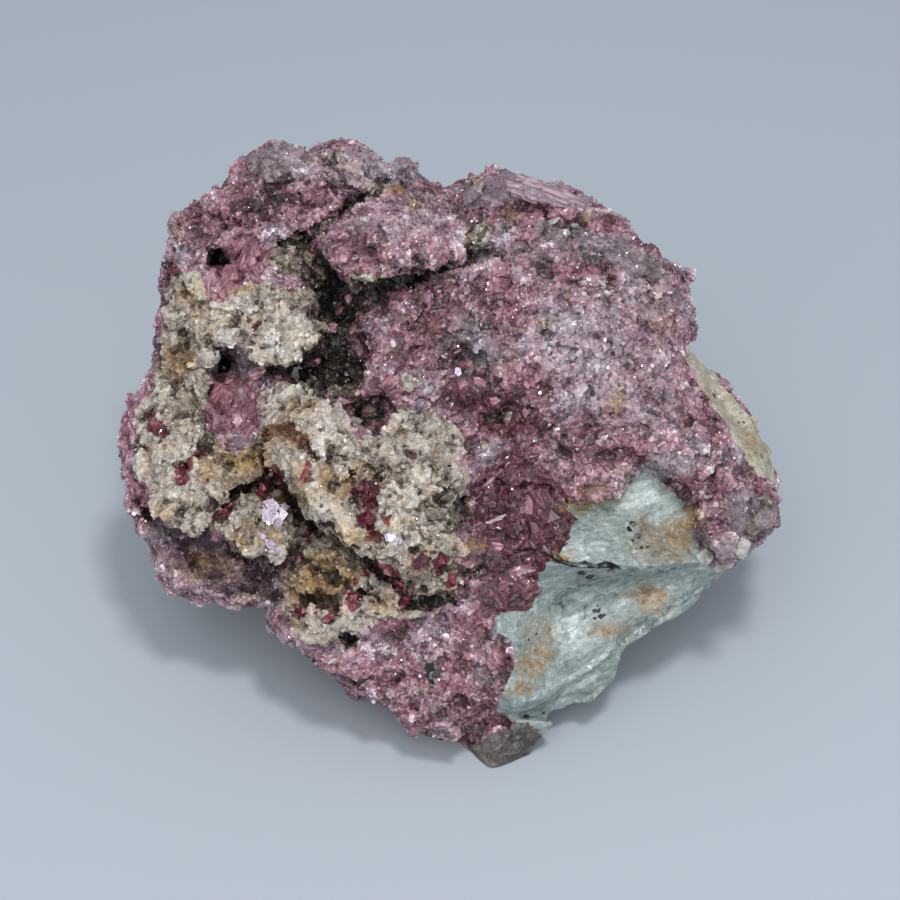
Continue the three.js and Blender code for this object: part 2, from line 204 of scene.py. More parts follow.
def besidePath(right, down, path):
    # how far each point lies from a path, positive on its right-hand side, and how far along it
    lengths = [math.dist(a, b) for a, b in zip(path, path[1:])]
    nearest = np.full(len(right), np.inf)
    side = np.ones(len(right))
    along = np.zeros(len(right))
    for number, ((ax, ay), (bx, by)) in enumerate(zip(path, path[1:])):
        share = ((right - ax) * (bx - ax) + (down - ay) * (by - ay)) / lengths[number] ** 2
        share = np.clip(share, 0, 1)
        away = np.hypot(right - ax - share * (bx - ax), down - ay - share * (by - ay))
        cross = (bx - ax) * (down - ay) - (by - ay) * (right - ax)
        closer = away < nearest
        nearest = np.where(closer, away, nearest)
        side = np.where(closer, np.sign(cross), side)
        along = np.where(closer, sum(lengths[:number]) + share * lengths[number], along)
    return nearest, side, along / sum(lengths)


# breaks of the face: places and reaches in front-view pixels, heights and depths in mm
# steps drop away to the left-hand side of their path, as one walks along it: path, drop, reach, lip
faceSteps = {
    "brow": ([(452, 258), (424, 270), (402, 272), (374, 281), (348, 281), (330, 264), (312, 240), (300, 214)],
        2.8, 30, 1.1),
    "shelf": ([(334, 329), (325, 331), (307, 340), (300, 362), (286, 366), (275, 370), (257, 361), (239, 349),
        (227, 345), (209, 350)], 2.4, 20, 0.8),
    "island": ([(398, 584), (378, 568), (361, 554), (343, 536), (316, 524), (300, 508), (282, 489),
        (268, 470), (256, 448)], 3.4, 16, 1.2),
    "ledge": ([(384, 604), (371, 593), (357, 589), (343, 581), (323, 570), (305, 557), (290, 540)], 3.0, 18,
        0.9),
    "lobe": ([(296, 551), (286, 554), (277, 563), (266, 568), (258, 560), (237, 553), (232, 546), (214, 531)],
        3.0, 26, 0.8),
    "leftLobe": ([(256, 476), (245, 485), (229, 502), (212, 520), (194, 534), (172, 530), (152, 512),
        (138, 494)], 3.0, 18, 0.8),
    "pocketRim": ([(207, 352), (204, 372), (210, 398), (222, 418), (240, 424)], 1.2, 20, 0.6),
    "islandTop": ([(264, 390), (286, 384), (312, 392), (338, 406), (350, 430), (384, 434), (392, 414),
        (424, 408)], 0.8, 16, 0.6),
    "slabStep": ([(623, 599), (617, 596), (596, 592), (570, 591), (552, 598), (536, 612)], 0.6, 26, 0.15),
    "slabEdge": ([(719, 579), (690, 597), (670, 610), (644, 622), (626, 636), (609, 649), (590, 661),
        (570, 673), (552, 688), (534, 700)], 1.6, 30, 0.15),
    "topVein": ([(585, 215), (556, 226), (524, 238), (494, 256)], 0.7, 12, 0.3),
    "wave": ([(470, 322), (452, 330), (432, 336), (414, 350)], 1.0, 16, 0.4),
    "waist": ([(660, 262), (636, 276), (606, 284), (576, 282)], 0.8, 14, 0.3),
    "rim": ([(640, 448), (600, 452), (566, 446), (540, 430), (505, 434), (480, 428)], 0.9, 18, 0.4),
}
# open cracks: path, width, depth
faceCracks = {
    "upper": ([(302, 232), (330, 214), (361, 196), (386, 182)], 5, 1.8),
    "browEnd": ([(452, 262), (468, 250), (474, 232), (470, 214)], 5, 2.0),
    "lowerPink": ([(440, 610), (452, 640), (446, 680), (456, 720)], 6, 0.5),
    "islandGap": ([(410, 606), (398, 586), (378, 570), (361, 556), (343, 538), (316, 526), (300, 510),
        (282, 491), (268, 472), (254, 446)], 7, 2.0),
    "ledgeGap": ([(384, 606), (371, 595), (357, 591), (343, 583), (323, 572), (305, 559), (290, 544)], 6,
        1.8),
    "leftGap": ([(258, 476), (245, 487), (229, 501), (216, 506)], 5, 1.5),
    "seamOne": ([(290, 424), (300, 438), (312, 448), (316, 462), (306, 478), (300, 496)], 6, 1.3),
    "seamTwo": ([(356, 482), (368, 494), (372, 508), (364, 520), (376, 536), (384, 556), (396, 580)], 7, 1.4),
    "seamThree": ([(340, 452), (356, 462), (374, 468), (388, 478)], 5, 1.0),
    "seamFour": ([(254, 486), (270, 472), (284, 488)], 6, 1.4),
    "seamFive": ([(200, 410), (212, 430), (214, 444), (196, 456), (182, 468), (180, 488)], 6, 1.3),
    "seamSix": ([(150, 408), (160, 424), (168, 438)], 6, 1.0),
    "seamSeven": ([(408, 604), (412, 580), (430, 566), (452, 568)], 6, 1.3),
    "seamEight": ([(164, 372), (174, 386), (180, 400)], 6, 1.2),
    "seamNine": ([(184, 290), (194, 304), (190, 322), (196, 340)], 5, 0.8),
    "wineGapOne": ([(474, 502), (490, 513), (506, 513), (520, 505)], 5, 1.3),
    "wineGapTwo": ([(522, 482), (531, 500), (527, 520), (520, 542)], 5, 1.5),
    "wineGapThree": ([(486, 528), (504, 540), (520, 546)], 5, 1.1),
    "wineGapFour": ([(538, 476), (549, 492), (546, 508)], 4, 1.0),
    "wineGapFive": ([(500, 566), (520, 562), (540, 566)], 4, 1.0),
    "mauve": ([(625, 336), (630, 352), (624, 374)], 3, 0.7),
    "crest": ([(238, 176), (262, 184), (284, 178), (306, 184)], 6, 1.2),
    "crestTwo": ([(318, 150), (326, 172), (340, 190), (352, 200)], 5, 1.3),
    "crestThree": ([(196, 206), (212, 196), (226, 212), (246, 222)], 6, 1.2),
    "crestFour": ([(166, 240), (178, 222), (190, 208)], 5, 1.0),
    "shoulder": ([(420, 200), (440, 214), (466, 212), (480, 196)], 6, 1.6),
    "bladeFoot": ([(500, 198), (528, 212), (560, 218), (590, 222)], 4, 1.0),
    "leftWaist": ([(140, 500), (154, 520), (180, 540), (214, 548)], 7, 1.6),
}
# thin cracks, cut after the others so that they stay sharp: path, width, depth, and how black they are
# painted, which is painted shade in the crack
fineCracks = {
    "slabCrack": ([(545, 554), (556, 560), (571, 565), (590, 568), (604, 566), (618, 569)], 2.4, 1.3, 1.0),
    "slabJoint": ([(618, 569), (636, 574), (641, 566), (656, 571), (680, 567), (717, 567)], 2.4, 0.35, 0.15),
    "slabSide": ([(638, 566), (636, 548), (642, 530), (648, 518), (660, 498)], 2.4, 0.3, 0.1),
    "slabEnd": ([(622, 600), (604, 590), (588, 584), (572, 586)], 2.4, 0.3, 0.1),
    "slabToe": ([(596, 640), (586, 628), (590, 612), (600, 600)], 2.4, 0.2, 0.05),
    "upperLeftOne": ([(228, 204), (244, 213), (260, 210), (276, 220)], 3.0, 0.7, 0.9),
    "upperLeftTwo": ([(192, 216), (206, 208), (220, 214), (226, 226)], 3.0, 0.7, 0.9),
    "upperLeftThree": ([(264, 186), (274, 196), (270, 206)], 3.2, 0.7, 0.9),
    "upperLeftFour": ([(292, 196), (306, 204), (318, 200)], 3.0, 0.6, 0.8),
    "crestGap": ([(322, 160), (330, 170), (328, 184), (340, 194)], 3.4, 0.8, 0.9),
    "crestNick": ([(368, 168), (376, 178), (390, 182)], 3.0, 0.6, 0.8),
    "leftGapLine": ([(166, 240), (160, 256), (162, 272)], 3.4, 0.8, 0.9),
    "islandLine": ([(398, 588), (378, 572), (361, 558), (343, 540), (316, 528), (300, 512), (284, 494),
        (270, 476)], 4.0, 1.0, 1.0),
    "ledgeLine": ([(376, 600), (357, 592), (343, 584), (323, 574), (305, 561)], 4.0, 0.8, 0.9),
    "lobeLine": ([(286, 557), (277, 566), (266, 572), (252, 566), (237, 557), (226, 546)], 4.0, 0.8, 0.9),
    "leftLine": ([(254, 480), (245, 488), (236, 498), (222, 506)], 4.0, 0.8, 1.0),
    "browLine": ([(452, 262), (424, 274), (402, 276), (374, 285), (350, 285)], 4.0, 1.0, 1.0),
    "shelfLine": ([(307, 342), (300, 364), (286, 369), (275, 373), (257, 364)], 4.0, 0.8, 1.0),
    "upperLine": ([(306, 232), (330, 216), (361, 197), (384, 183)], 3.0, 0.6, 0.8),
    "crestLine": ([(330, 152), (336, 172), (350, 186), (362, 196)], 3.0, 0.6, 0.7),
    "wineLine": ([(488, 474), (500, 482), (520, 486), (536, 480)], 3.0, 0.7, 0.7),
    "wineFoot": ([(500, 548), (520, 556), (545, 554)], 3.0, 0.6, 0.7),
}
# hollows: outline, depth, width of the soft rim
faceHoles = {
    "diamond": ([(208, 247), (222, 246), (236, 261), (222, 268), (208, 266)], 5.0, 3),
    "pocket": ([(211, 353), (228, 349), (240, 360), (232, 373), (217, 372)], 5.0, 3),
    "gallery": ([(304, 262), (330, 268), (352, 290), (366, 296), (356, 318), (342, 330), (318, 326),
        (312, 300)], 1.3, 7),
    "cavern": ([(306, 342), (330, 334), (352, 340), (366, 372), (352, 394), (312, 392), (290, 378),
        (262, 374), (280, 368), (302, 364)], 1.2, 7),
    "greenHole": ([(348, 406), (372, 398), (392, 404), (388, 426), (364, 424)], 1.9, 6),
    "glintHole": ([(448, 346), (470, 340), (482, 350), (474, 372), (452, 376)], 1.2, 8),
    "lowHole": ([(482, 412), (506, 405), (538, 409), (534, 423), (504, 430), (482, 425)], 1.2, 7),
    "vug": ([(306, 592), (328, 588), (336, 602), (322, 614), (308, 608)], 3.0, 4),
    "vugFoot": ([(336, 632), (356, 630), (356, 650), (342, 651)], 2.2, 4),
    "slot": ([(462, 578), (474, 566), (488, 564), (482, 574)], 1.8, 2),
    "upperNick": ([(462, 250), (478, 243), (480, 262), (468, 272)], 1.2, 5),
    "browSlot": ([(378, 284), (404, 276), (452, 262), (468, 252), (462, 268), (428, 282), (394, 292)], 2.0,
        4),
    "wineHole": ([(456, 492), (470, 500), (468, 520), (454, 510)], 1.6, 4),
    "gully": ([(262, 496), (286, 510), (300, 530), (322, 548), (316, 556), (296, 548), (280, 530),
        (258, 508)], 1.2, 5),
    "notch": ([(404, 604), (424, 600), (456, 598), (448, 608), (420, 612)], 1.5, 3),
}
# low knobs: centre, radii, turn in degrees, height
faceKnobs = {
    "browTop": ((385, 232), (70, 34), 8, 1.2),
    "islandRidge": ((332, 508), (62, 18), -51, 2.0),
    "islandCrown": ((322, 418), (40, 20), -30, 0.9),
    "lowRidge": ((330, 560), (46, 11), -38, 1.0),
    "islandTongue": ((384, 556), (10, 26), 30, 1.0),
    "islandRight": ((420, 500), (42, 60), 10, 1.0),
    "lobeMiddle": ((250, 528), (36, 22), -25, 1.0),
    "leftMiddle": ((176, 490), (34, 34), 0, 1.2),
    "palePink": ((590, 345), (46, 40), 0, 0.8),
    "raspberry": ((530, 520), (34, 44), 30, 1.2),
    "lowerPink": ((455, 670), (46, 60), 20, 0.8),
    "vugLip": ((330, 600), (38, 28), 0, 0.9),
    "foldOne": ((430, 372), (26, 14), 30, 0.7),
    "foldTwo": ((520, 290), (30, 14), 20, 0.6),
    "foldThree": ((640, 420), (34, 18), -12, 0.8),
    "upperLeft": ((232, 196), (38, 24), 30, 1.2),
    "leftCheek": ((190, 232), (22, 18), 20, 0.9),
    "crestLeft": ((278, 158), (24, 12), 0, 1.0),
    "crestRight": ((350, 152), (20, 12), -10, 0.8),
}


def faceHeights(points, wobbly):
    # how far each point of the face is pushed out, in mm, by the breaks above
    right, down = wobbly
    heights = np.zeros(len(points))
    for path, drop, reach, lip in faceSteps.values():
        away, side, along = besidePath(right, down, path)
        ends = smoothStep(0, 0.1, along) * smoothStep(1, 0.9, along)
        near = np.clip(1 - away / reach, 0, 1) ** 1.5
        heights += ends * near * np.where(side < 0, -drop, lip)
    for path, width, depth in faceCracks.values():
        away = besidePath(right, down, path)[0]
        heights -= depth * np.clip(1 - away / width, 0, 1)
    for outline, depth, soft in faceHoles.values():
        heights -= depth * smoothStep(-0.3, 1, insideBy(right, down, outline) / soft)
    for (x, y), (length, width), degrees, height in faceKnobs.values():
        turn = math.radians(degrees)
        along = (right - x) * math.cos(turn) - (down - y) * math.sin(turn)
        across = (right - x) * math.sin(turn) + (down - y) * math.cos(turn)
        heights += height * smoothStep(1.15, 0.6, np.hypot(along / length, across / width))
    return heights


def fineCrackDepths(wobbly):
    # how deep the thin cracks are at each point, in mm, and how dark their painted shade is there
    right, down = wobbly
    depths = np.zeros(len(right))
    crackShades = np.zeros(len(right))
    for path, width, depth, stain in fineCracks.values():
        away, side, along = besidePath(right, down, path)
        near = np.clip(1.2 - away / width, 0, 1) * smoothStep(0, 0.12, along) * smoothStep(1, 0.88, along)
        depths = np.maximum(depths, depth * near)
        crackShades = np.maximum(crackShades, stain * smoothStep(0.1, 0.7, near))
    return depths, crackShades


# flat cleavages of the slab, as outlines in front-view pixels
slabFaces = [
    [(558, 552), (570, 535), (574, 519), (565, 504), (596, 506), (619, 495), (630, 475), (645, 466),
     (665, 474), (686, 483), (694, 497), (690, 513), (701, 530), (717, 567), (680, 567), (656, 571),
     (636, 574), (616, 568), (590, 568), (565, 564)],
    [(547, 562), (565, 564), (590, 568), (616, 568), (636, 574), (656, 571), (680, 567), (717, 567),
     (719, 578), (690, 597), (669, 609), (644, 621), (617, 596), (596, 592), (570, 591), (552, 598),
     (538, 595), (536, 575)],
    [(644, 621), (609, 647), (570, 672), (535, 699), (514, 710), (502, 693), (516, 662), (512, 644),
     (496, 635), (496, 615), (529, 609), (552, 598), (570, 591), (596, 592), (617, 596)],
    [(644, 621), (668, 620), (650, 650), (626, 684), (600, 704), (575, 714), (545, 718), (520, 716),
     (514, 710), (535, 699), (570, 672), (609, 647)],
]
slabPull = 5 * mm    # the most that a cleavage moves the slab
slabBlend = (-5, 1)  # front-view pixels over which one cleavage passes into the next


def slabShift(points, front):
    # what brings the points of the slab to the plane of their own cleavage, in mm
    right, down, out = frontView(points)
    table = np.stack([right, down, np.ones(len(points))], axis=1)
    shift = np.zeros(len(points))
    total = np.zeros(len(points))
    for outline in slabFaces:
        depth = insideBy(right, down, outline)
        chosen = (depth > 3) & (front > 0.9)
        plane = np.linalg.lstsq(table[chosen], out[chosen], rcond=None)[0]
        share = smoothStep(*slabBlend, depth) * front
        shift += np.clip(table @ plane - out, -slabPull, slabPull) * share
        total += share
    return shift / np.maximum(total, 1) / mm


# where each mineral shows on the face, as outlines in front-view pixels
mineralOutlines = {
    "albite": [
        [(176, 269), (200, 271), (205, 299), (233, 290), (263, 282), (309, 290), (311, 317), (326, 330),
         (300, 364), (276, 369), (259, 360), (241, 343), (225, 345), (210, 360), (207, 397), (200, 410),
         (212, 428), (226, 446), (246, 450), (256, 436), (256, 410), (264, 391), (289, 380), (311, 391),
         (337, 404), (350, 428), (366, 438), (388, 432), (392, 412), (424, 409), (450, 422), (464, 440),
         (456, 456), (470, 476), (458, 500), (470, 520), (452, 532), (468, 548), (452, 562), (466, 585),
         (445, 601), (420, 612), (408, 620), (372, 625), (350, 640), (310, 645), (290, 632), (284, 610),
         (282, 590), (292, 572), (288, 560), (272, 566), (258, 560), (237, 553), (222, 541), (213, 526),
         (200, 534), (180, 530), (160, 517), (148, 497), (135, 471), (130, 445), (134, 424), (146, 395),
         (158, 372), (160, 338), (162, 290)],
        [(404, 372), (418, 378), (412, 392), (398, 388)],
        [(328, 352), (344, 344), (352, 356), (346, 376), (332, 368)],
        [(352, 272), (380, 272), (396, 276), (386, 284), (352, 284)],
        [(470, 228), (486, 222), (494, 234), (486, 244), (474, 250), (466, 240)],
    ],
    "crimson": [
        [(151, 409), (158, 414), (162, 428), (169, 439), (160, 441), (152, 434), (143, 430), (147, 418)],
        [(174, 466), (184, 458), (194, 450), (208, 450), (206, 458), (194, 462), (187, 470), (186, 488),
         (176, 488)],
        [(208, 520), (213, 512), (222, 506), (231, 510), (224, 517), (214, 522)],
        [(252, 488), (262, 474), (270, 466), (275, 462), (280, 474), (286, 484), (284, 494), (272, 488),
         (264, 501), (257, 499)],
        [(256, 438), (266, 430), (278, 427), (288, 420), (297, 428), (308, 438), (314, 448), (304, 448),
         (294, 440), (284, 434), (274, 438), (264, 442)],
        [(296, 480), (304, 469), (314, 466), (311, 477), (302, 486)],
        [(306, 450), (316, 452), (316, 462), (308, 460)],
        [(352, 490), (361, 481), (371, 484), (376, 494), (373, 508), (366, 509), (362, 500), (354, 497)],
        [(353, 524), (357, 513), (366, 511), (376, 518), (371, 528), (358, 530)],
        [(365, 536), (374, 526), (382, 534), (376, 544), (366, 540)],
        [(378, 568), (389, 561), (396, 572), (402, 582), (408, 594), (412, 604), (404, 610), (396, 594),
         (385, 582)],
        [(411, 564), (420, 554), (430, 560), (425, 570), (413, 570)],
        [(431, 560), (440, 554), (450, 566), (440, 572)],
        [(443, 578), (455, 572), (458, 586), (450, 592), (443, 585)],
        [(288, 608), (302, 604), (316, 607), (311, 615), (295, 618)],
        [(320, 617), (332, 610), (338, 618), (328, 626)],
        [(343, 600), (352, 590), (364, 596), (359, 607), (349, 612)],
        [(298, 538), (307, 529), (318, 524), (316, 535), (306, 544)],
        [(283, 562), (292, 554), (300, 562), (290, 568)],
        [(252, 324), (262, 320), (264, 326), (256, 330)],
        [(358, 570), (368, 568), (372, 578), (362, 580)],
        [(384, 514), (392, 518), (390, 526), (382, 522)],
        [(404, 452), (412, 450), (414, 458), (406, 460)],
        [(162, 268), (178, 262), (180, 272), (170, 276)],
    ],
    "slab": [
        [(565, 504), (596, 506), (617, 496), (630, 480), (648, 464), (652, 476), (664, 480), (676, 490),
         (684, 500), (684, 514), (696, 530), (698, 548), (704, 565), (722, 571), (760, 590), (740, 610),
         (680, 640), (640, 660), (624, 690), (598, 710), (580, 716), (574, 730), (560, 738), (540, 736),
         (528, 726), (510, 722), (494, 712), (502, 693), (516, 662), (512, 644), (496, 635), (496, 615),
         (529, 609), (538, 595), (536, 575), (547, 562), (558, 552), (570, 535), (574, 519)],
    ],
    "foot": [
        [(476, 742), (500, 728), (524, 722), (548, 734), (580, 730), (570, 800), (440, 800), (430, 764),
         (464, 752)],
    ],
    # dark grains, and painted shade in the holes, cracks and the gap under the brow
    "dark": [
        [(263, 262), (284, 240), (302, 226), (318, 250), (345, 278), (372, 285), (385, 283), (360, 318),
         (352, 338), (372, 380), (352, 396), (340, 400), (305, 395), (285, 378), (262, 372), (275, 368),
         (300, 364), (328, 330), (312, 318), (309, 290), (300, 282), (285, 278)],
        [(208, 247), (235, 262), (222, 269), (208, 266)],
        [(209, 352), (228, 350), (238, 362), (230, 374), (216, 372)],
        [(344, 414), (358, 401), (388, 402), (385, 420), (378, 428), (358, 420)],
        [(385, 283), (402, 271), (424, 271), (455, 256), (470, 250), (466, 266), (430, 282), (392, 292)],
        [(464, 254), (474, 247), (476, 260), (469, 268)],
        [(484, 414), (500, 408), (512, 410), (506, 420), (490, 424)],
        [(309, 592), (328, 590), (334, 606), (312, 612)],
        [(337, 632), (356, 630), (356, 650), (342, 651)],
        [(424, 666), (436, 664), (434, 684), (426, 682)],
        [(432, 738), (454, 735), (455, 748), (438, 748)],
        [(464, 576), (474, 566), (486, 564), (482, 574)],
        [(418, 600), (452, 594), (454, 606), (424, 610)],
        [(455, 492), (470, 500), (468, 520), (452, 512)],
        [(300, 236), (330, 214), (361, 195), (364, 201), (334, 222), (306, 243)],
        [(545, 218), (560, 224), (588, 222), (590, 226), (560, 230)],
        [(370, 480), (380, 474), (386, 480), (376, 486)],
        [(438, 498), (450, 490), (459, 490), (450, 500), (440, 504)],
        [(404, 450), (412, 446), (416, 452), (408, 456)],
        [(424, 500), (440, 510), (460, 514), (466, 528), (448, 532), (430, 520)],
        [(286, 568), (300, 560), (316, 568), (300, 578)],
    ],
    "raspberry": [
        [(473, 486), (490, 462), (514, 450), (547, 470), (563, 490), (574, 519), (565, 548), (543, 562),
         (536, 586), (538, 604), (518, 613), (490, 610), (476, 590), (484, 575), (468, 555), (474, 520)],
        [(440, 385), (470, 375), (492, 392), (520, 405), (540, 430), (500, 440), (470, 420), (445, 405)],
    ],
    "rose": [
        [(224, 240), (250, 236), (272, 246), (270, 266), (252, 284), (236, 280), (224, 299), (204, 296),
         (202, 270), (224, 262)],
        [(207, 378), (236, 376), (262, 388), (258, 424), (244, 440), (222, 424), (208, 406)],
    ],
    "quartz": [
        [(592, 240), (619, 238), (660, 262), (668, 282), (640, 280), (605, 262)],
        [(648, 458), (690, 452), (698, 476), (660, 474)],
        [(245, 152), (290, 142), (312, 152), (300, 172), (262, 178), (240, 170)],
        [(232, 345), (255, 345), (264, 365), (258, 386), (236, 378)],
        [(536, 218), (560, 228), (588, 228), (590, 240), (560, 244), (540, 236)],
        [(486, 446), (496, 440), (504, 452), (496, 466), (486, 460)],
        [(716, 492), (748, 488), (768, 497), (781, 508), (776, 533), (752, 540), (730, 534)],
        [(698, 548), (728, 538), (752, 542), (744, 560), (719, 577), (700, 566)],
    ],
    "lavender": [
        [(462, 196), (478, 180), (510, 170), (560, 184), (592, 200), (596, 212), (560, 207), (524, 200),
         (496, 208), (470, 212)],
    ],
    "plate": [
        [(688, 345), (708, 365), (735, 400), (762, 425), (775, 445), (776, 482), (757, 476), (742, 450),
         (720, 420), (702, 390), (690, 365)],
    ],
}
# softer drifts of colour on the face: centre and radii in front-view pixels, strength
mineralDrifts = {
    "wine": [(268, 204, 34, 22, 1.0), (366, 240, 22, 14, 0.7), (465, 380, 30, 50, 0.9),
        (500, 410, 46, 20, 0.9), (416, 300, 60, 20, 0.6), (566, 262, 46, 14, 0.7), (600, 440, 46, 20, 0.5),
        (520, 520, 54, 60, 0.9), (400, 330, 60, 30, 0.3), (700, 425, 30, 22, 0.5), (560, 200, 30, 6, 0.8),
        (627, 354, 6, 18, 0.9), (480, 700, 40, 40, 0.4), (180, 545, 40, 16, 0.5), (340, 360, 14, 30, 0.5),
        (640, 245, 30, 10, 0.6), (462, 362, 20, 18, 1.0), (470, 440, 30, 16, 0.7), (510, 418, 30, 12, 1.0),
        (404, 400, 30, 12, 0.6), (330, 318, 22, 20, 0.9), (500, 596, 30, 16, 0.8), (146, 500, 14, 26, 0.6),
        (512, 492, 30, 10, 1.0), (250, 196, 22, 12, 0.6), (200, 236, 20, 14, 0.5), (710, 490, 40, 26, 0.6)],
    "pale": [(584, 345, 54, 44, 1.0), (640, 300, 40, 34, 0.7), (605, 390, 44, 18, 1.0),
        (640, 360, 40, 40, 0.5), (300, 160, 50, 16, 0.4), (430, 215, 34, 20, 0.5), (540, 250, 46, 12, 0.6),
        (740, 520, 24, 16, 0.4), (500, 350, 30, 20, 0.3), (370, 215, 50, 18, 0.35), (300, 640, 30, 20, 0.6),
        (690, 392, 20, 16, 0.3), (420, 590, 30, 14, 0.5), (560, 300, 30, 20, 0.4), (340, 640, 40, 14, 0.5),
        (350, 168, 60, 22, 0.8), (200, 575, 60, 24, 0.6), (640, 488, 26, 20, 0.9), (585, 548, 26, 10, 0.7),
        (560, 640, 40, 20, 0.6), (640, 606, 30, 10, 0.5)],
    "grey": [(475, 360, 24, 36, 0.7), (430, 400, 40, 18, 0.5), (598, 246, 24, 14, 0.9),
        (650, 268, 34, 14, 0.9), (330, 165, 30, 18, 0.7), (480, 240, 24, 20, 0.8), (500, 185, 30, 10, 0.6),
        (380, 178, 30, 14, 0.7), (670, 464, 30, 14, 0.9), (520, 488, 20, 10, 0.8), (334, 312, 24, 20, 0.9),
        (560, 322, 20, 12, 0.5), (300, 560, 20, 12, 0.7), (760, 520, 20, 20, 0.7), (250, 366, 16, 20, 0.8),
        (420, 620, 30, 12, 0.5), (590, 352, 20, 20, 0.5), (350, 165, 60, 20, 0.3), (250, 590, 34, 16, 0.7),
        (160, 540, 16, 30, 0.5), (160, 230, 16, 26, 0.6), (480, 190, 22, 14, 0.6), (690, 430, 24, 24, 0.5),
        (600, 579, 44, 8, 0.8), (572, 522, 12, 14, 0.6), (556, 606, 24, 8, 0.5), (690, 560, 20, 8, 0.5)],
    "tan": [(512, 214, 12, 8, 1.0), (352, 172, 20, 14, 0.4), (398, 190, 16, 8, 0.7), (546, 326, 12, 8, 0.8),
        (506, 366, 10, 12, 0.6), (612, 400, 14, 16, 0.7), (586, 214, 12, 8, 0.8), (440, 590, 20, 10, 0.5),
        (520, 330, 16, 8, 0.4), (280, 175, 14, 8, 0.5), (250, 292, 18, 6, 1.0), (190, 300, 24, 18, 0.5),
        (180, 360, 16, 20, 0.8), (240, 455, 30, 14, 0.8), (345, 480, 30, 24, 0.6), (250, 535, 34, 18, 0.5),
        (330, 580, 30, 24, 0.9), (450, 560, 26, 20, 0.4), (300, 410, 26, 16, 0.4), (380, 600, 24, 14, 0.5),
        (700, 540, 20, 12, 0.3), (210, 566, 36, 18, 0.8), (160, 520, 14, 20, 0.5), (250, 600, 20, 8, 0.5),
        (374, 186, 24, 10, 0.6), (320, 160, 30, 12, 0.5), (480, 186, 16, 12, 0.7), (174, 224, 16, 16, 0.5),
        (430, 330, 20, 8, 0.4), (660, 320, 14, 30, 0.4)],
    "dense": [(304, 474, 16, 14, 0.9), (318, 490, 18, 15, 1.0), (332, 508, 20, 16, 1.0),
        (347, 526, 18, 15, 1.0), (360, 544, 14, 12, 0.9), (322, 566, 14, 10, 0.7), (160, 460, 16, 34, 0.7),
        (186, 500, 20, 14, 0.6), (214, 320, 18, 12, 0.6), (276, 322, 22, 16, 0.5), (420, 540, 16, 12, 0.6),
        (250, 548, 16, 10, 0.6)],
    "rust": [(534, 664, 16, 18, 1.0), (522, 690, 12, 9, 0.9), (646, 595, 26, 12, 0.95),
        (676, 538, 18, 22, 0.85), (643, 528, 8, 18, 0.7), (584, 505, 26, 6, 0.9), (563, 556, 12, 6, 0.9),
        (612, 632, 22, 9, 0.7), (688, 520, 12, 14, 0.8), (512, 694, 10, 6, 0.6), (280, 436, 24, 12, 0.7),
        (250, 464, 22, 16, 1.0), (290, 500, 34, 10, 0.8), (300, 440, 16, 10, 0.8), (206, 470, 16, 16, 0.7),
        (340, 582, 20, 10, 0.8), (296, 588, 14, 12, 0.9), (316, 590, 28, 18, 0.9), (232, 290, 26, 5, 0.6),
        (176, 360, 14, 18, 0.6), (350, 540, 26, 12, 0.6), (480, 544, 16, 5, 0.6), (468, 548, 10, 6, 0.6),
        (608, 502, 14, 5, 0.7), (752, 440, 14, 20, 0.4), (230, 480, 14, 10, 0.6), (400, 190, 8, 5, 0.8),
        (412, 205, 7, 5, 0.7), (338, 172, 8, 5, 0.6), (200, 560, 14, 8, 0.6), (620, 470, 10, 5, 0.7),
        (600, 488, 20, 5, 0.7), (660, 545, 30, 20, 0.6), (652, 610, 20, 8, 0.6), (540, 640, 20, 26, 0.5),
        (300, 476, 12, 18, 0.6), (326, 556, 20, 8, 0.8)],
}
# minerals on the sides and back, in blotches: size in mm, share of the noise from which they show, seed
hiddenBlotches = {
    "albite": (17, 0.22, 5), "dark": (5, 0.56, 11), "raspberry": (9, 0.5, 8), "quartz": (12, 0.42, 9),
    "wine": (8, 0.2, 12), "pale": (13, 0.1, 13), "grey": (10, 0.25, 14), "tan": (6, 0.3, 15),
    "rust": (8, 0.42, 16),
}
edgeSoftness = 1.5  # front-view pixels
recessShadeDepth = 3.2    # mm of recess that is wholly painted dark, as shade
# how much raggedness the outlines of the smoother minerals keep
crispMinerals = {"slab": 0.6, "foot": 0.9, "plate": 0.5, "lavender": 0.5}
frontLimits = {"facing": (-0.4, -0.15), "out": (-34 * mm, -28 * mm)}  # what counts as the broad face
# where the slab runs on under its lower edge, from none of it to all
slabUnder = {"x": (12 * mm, 20 * mm), "y": (-12 * mm, -20 * mm), "z": (26 * mm, 18 * mm)}


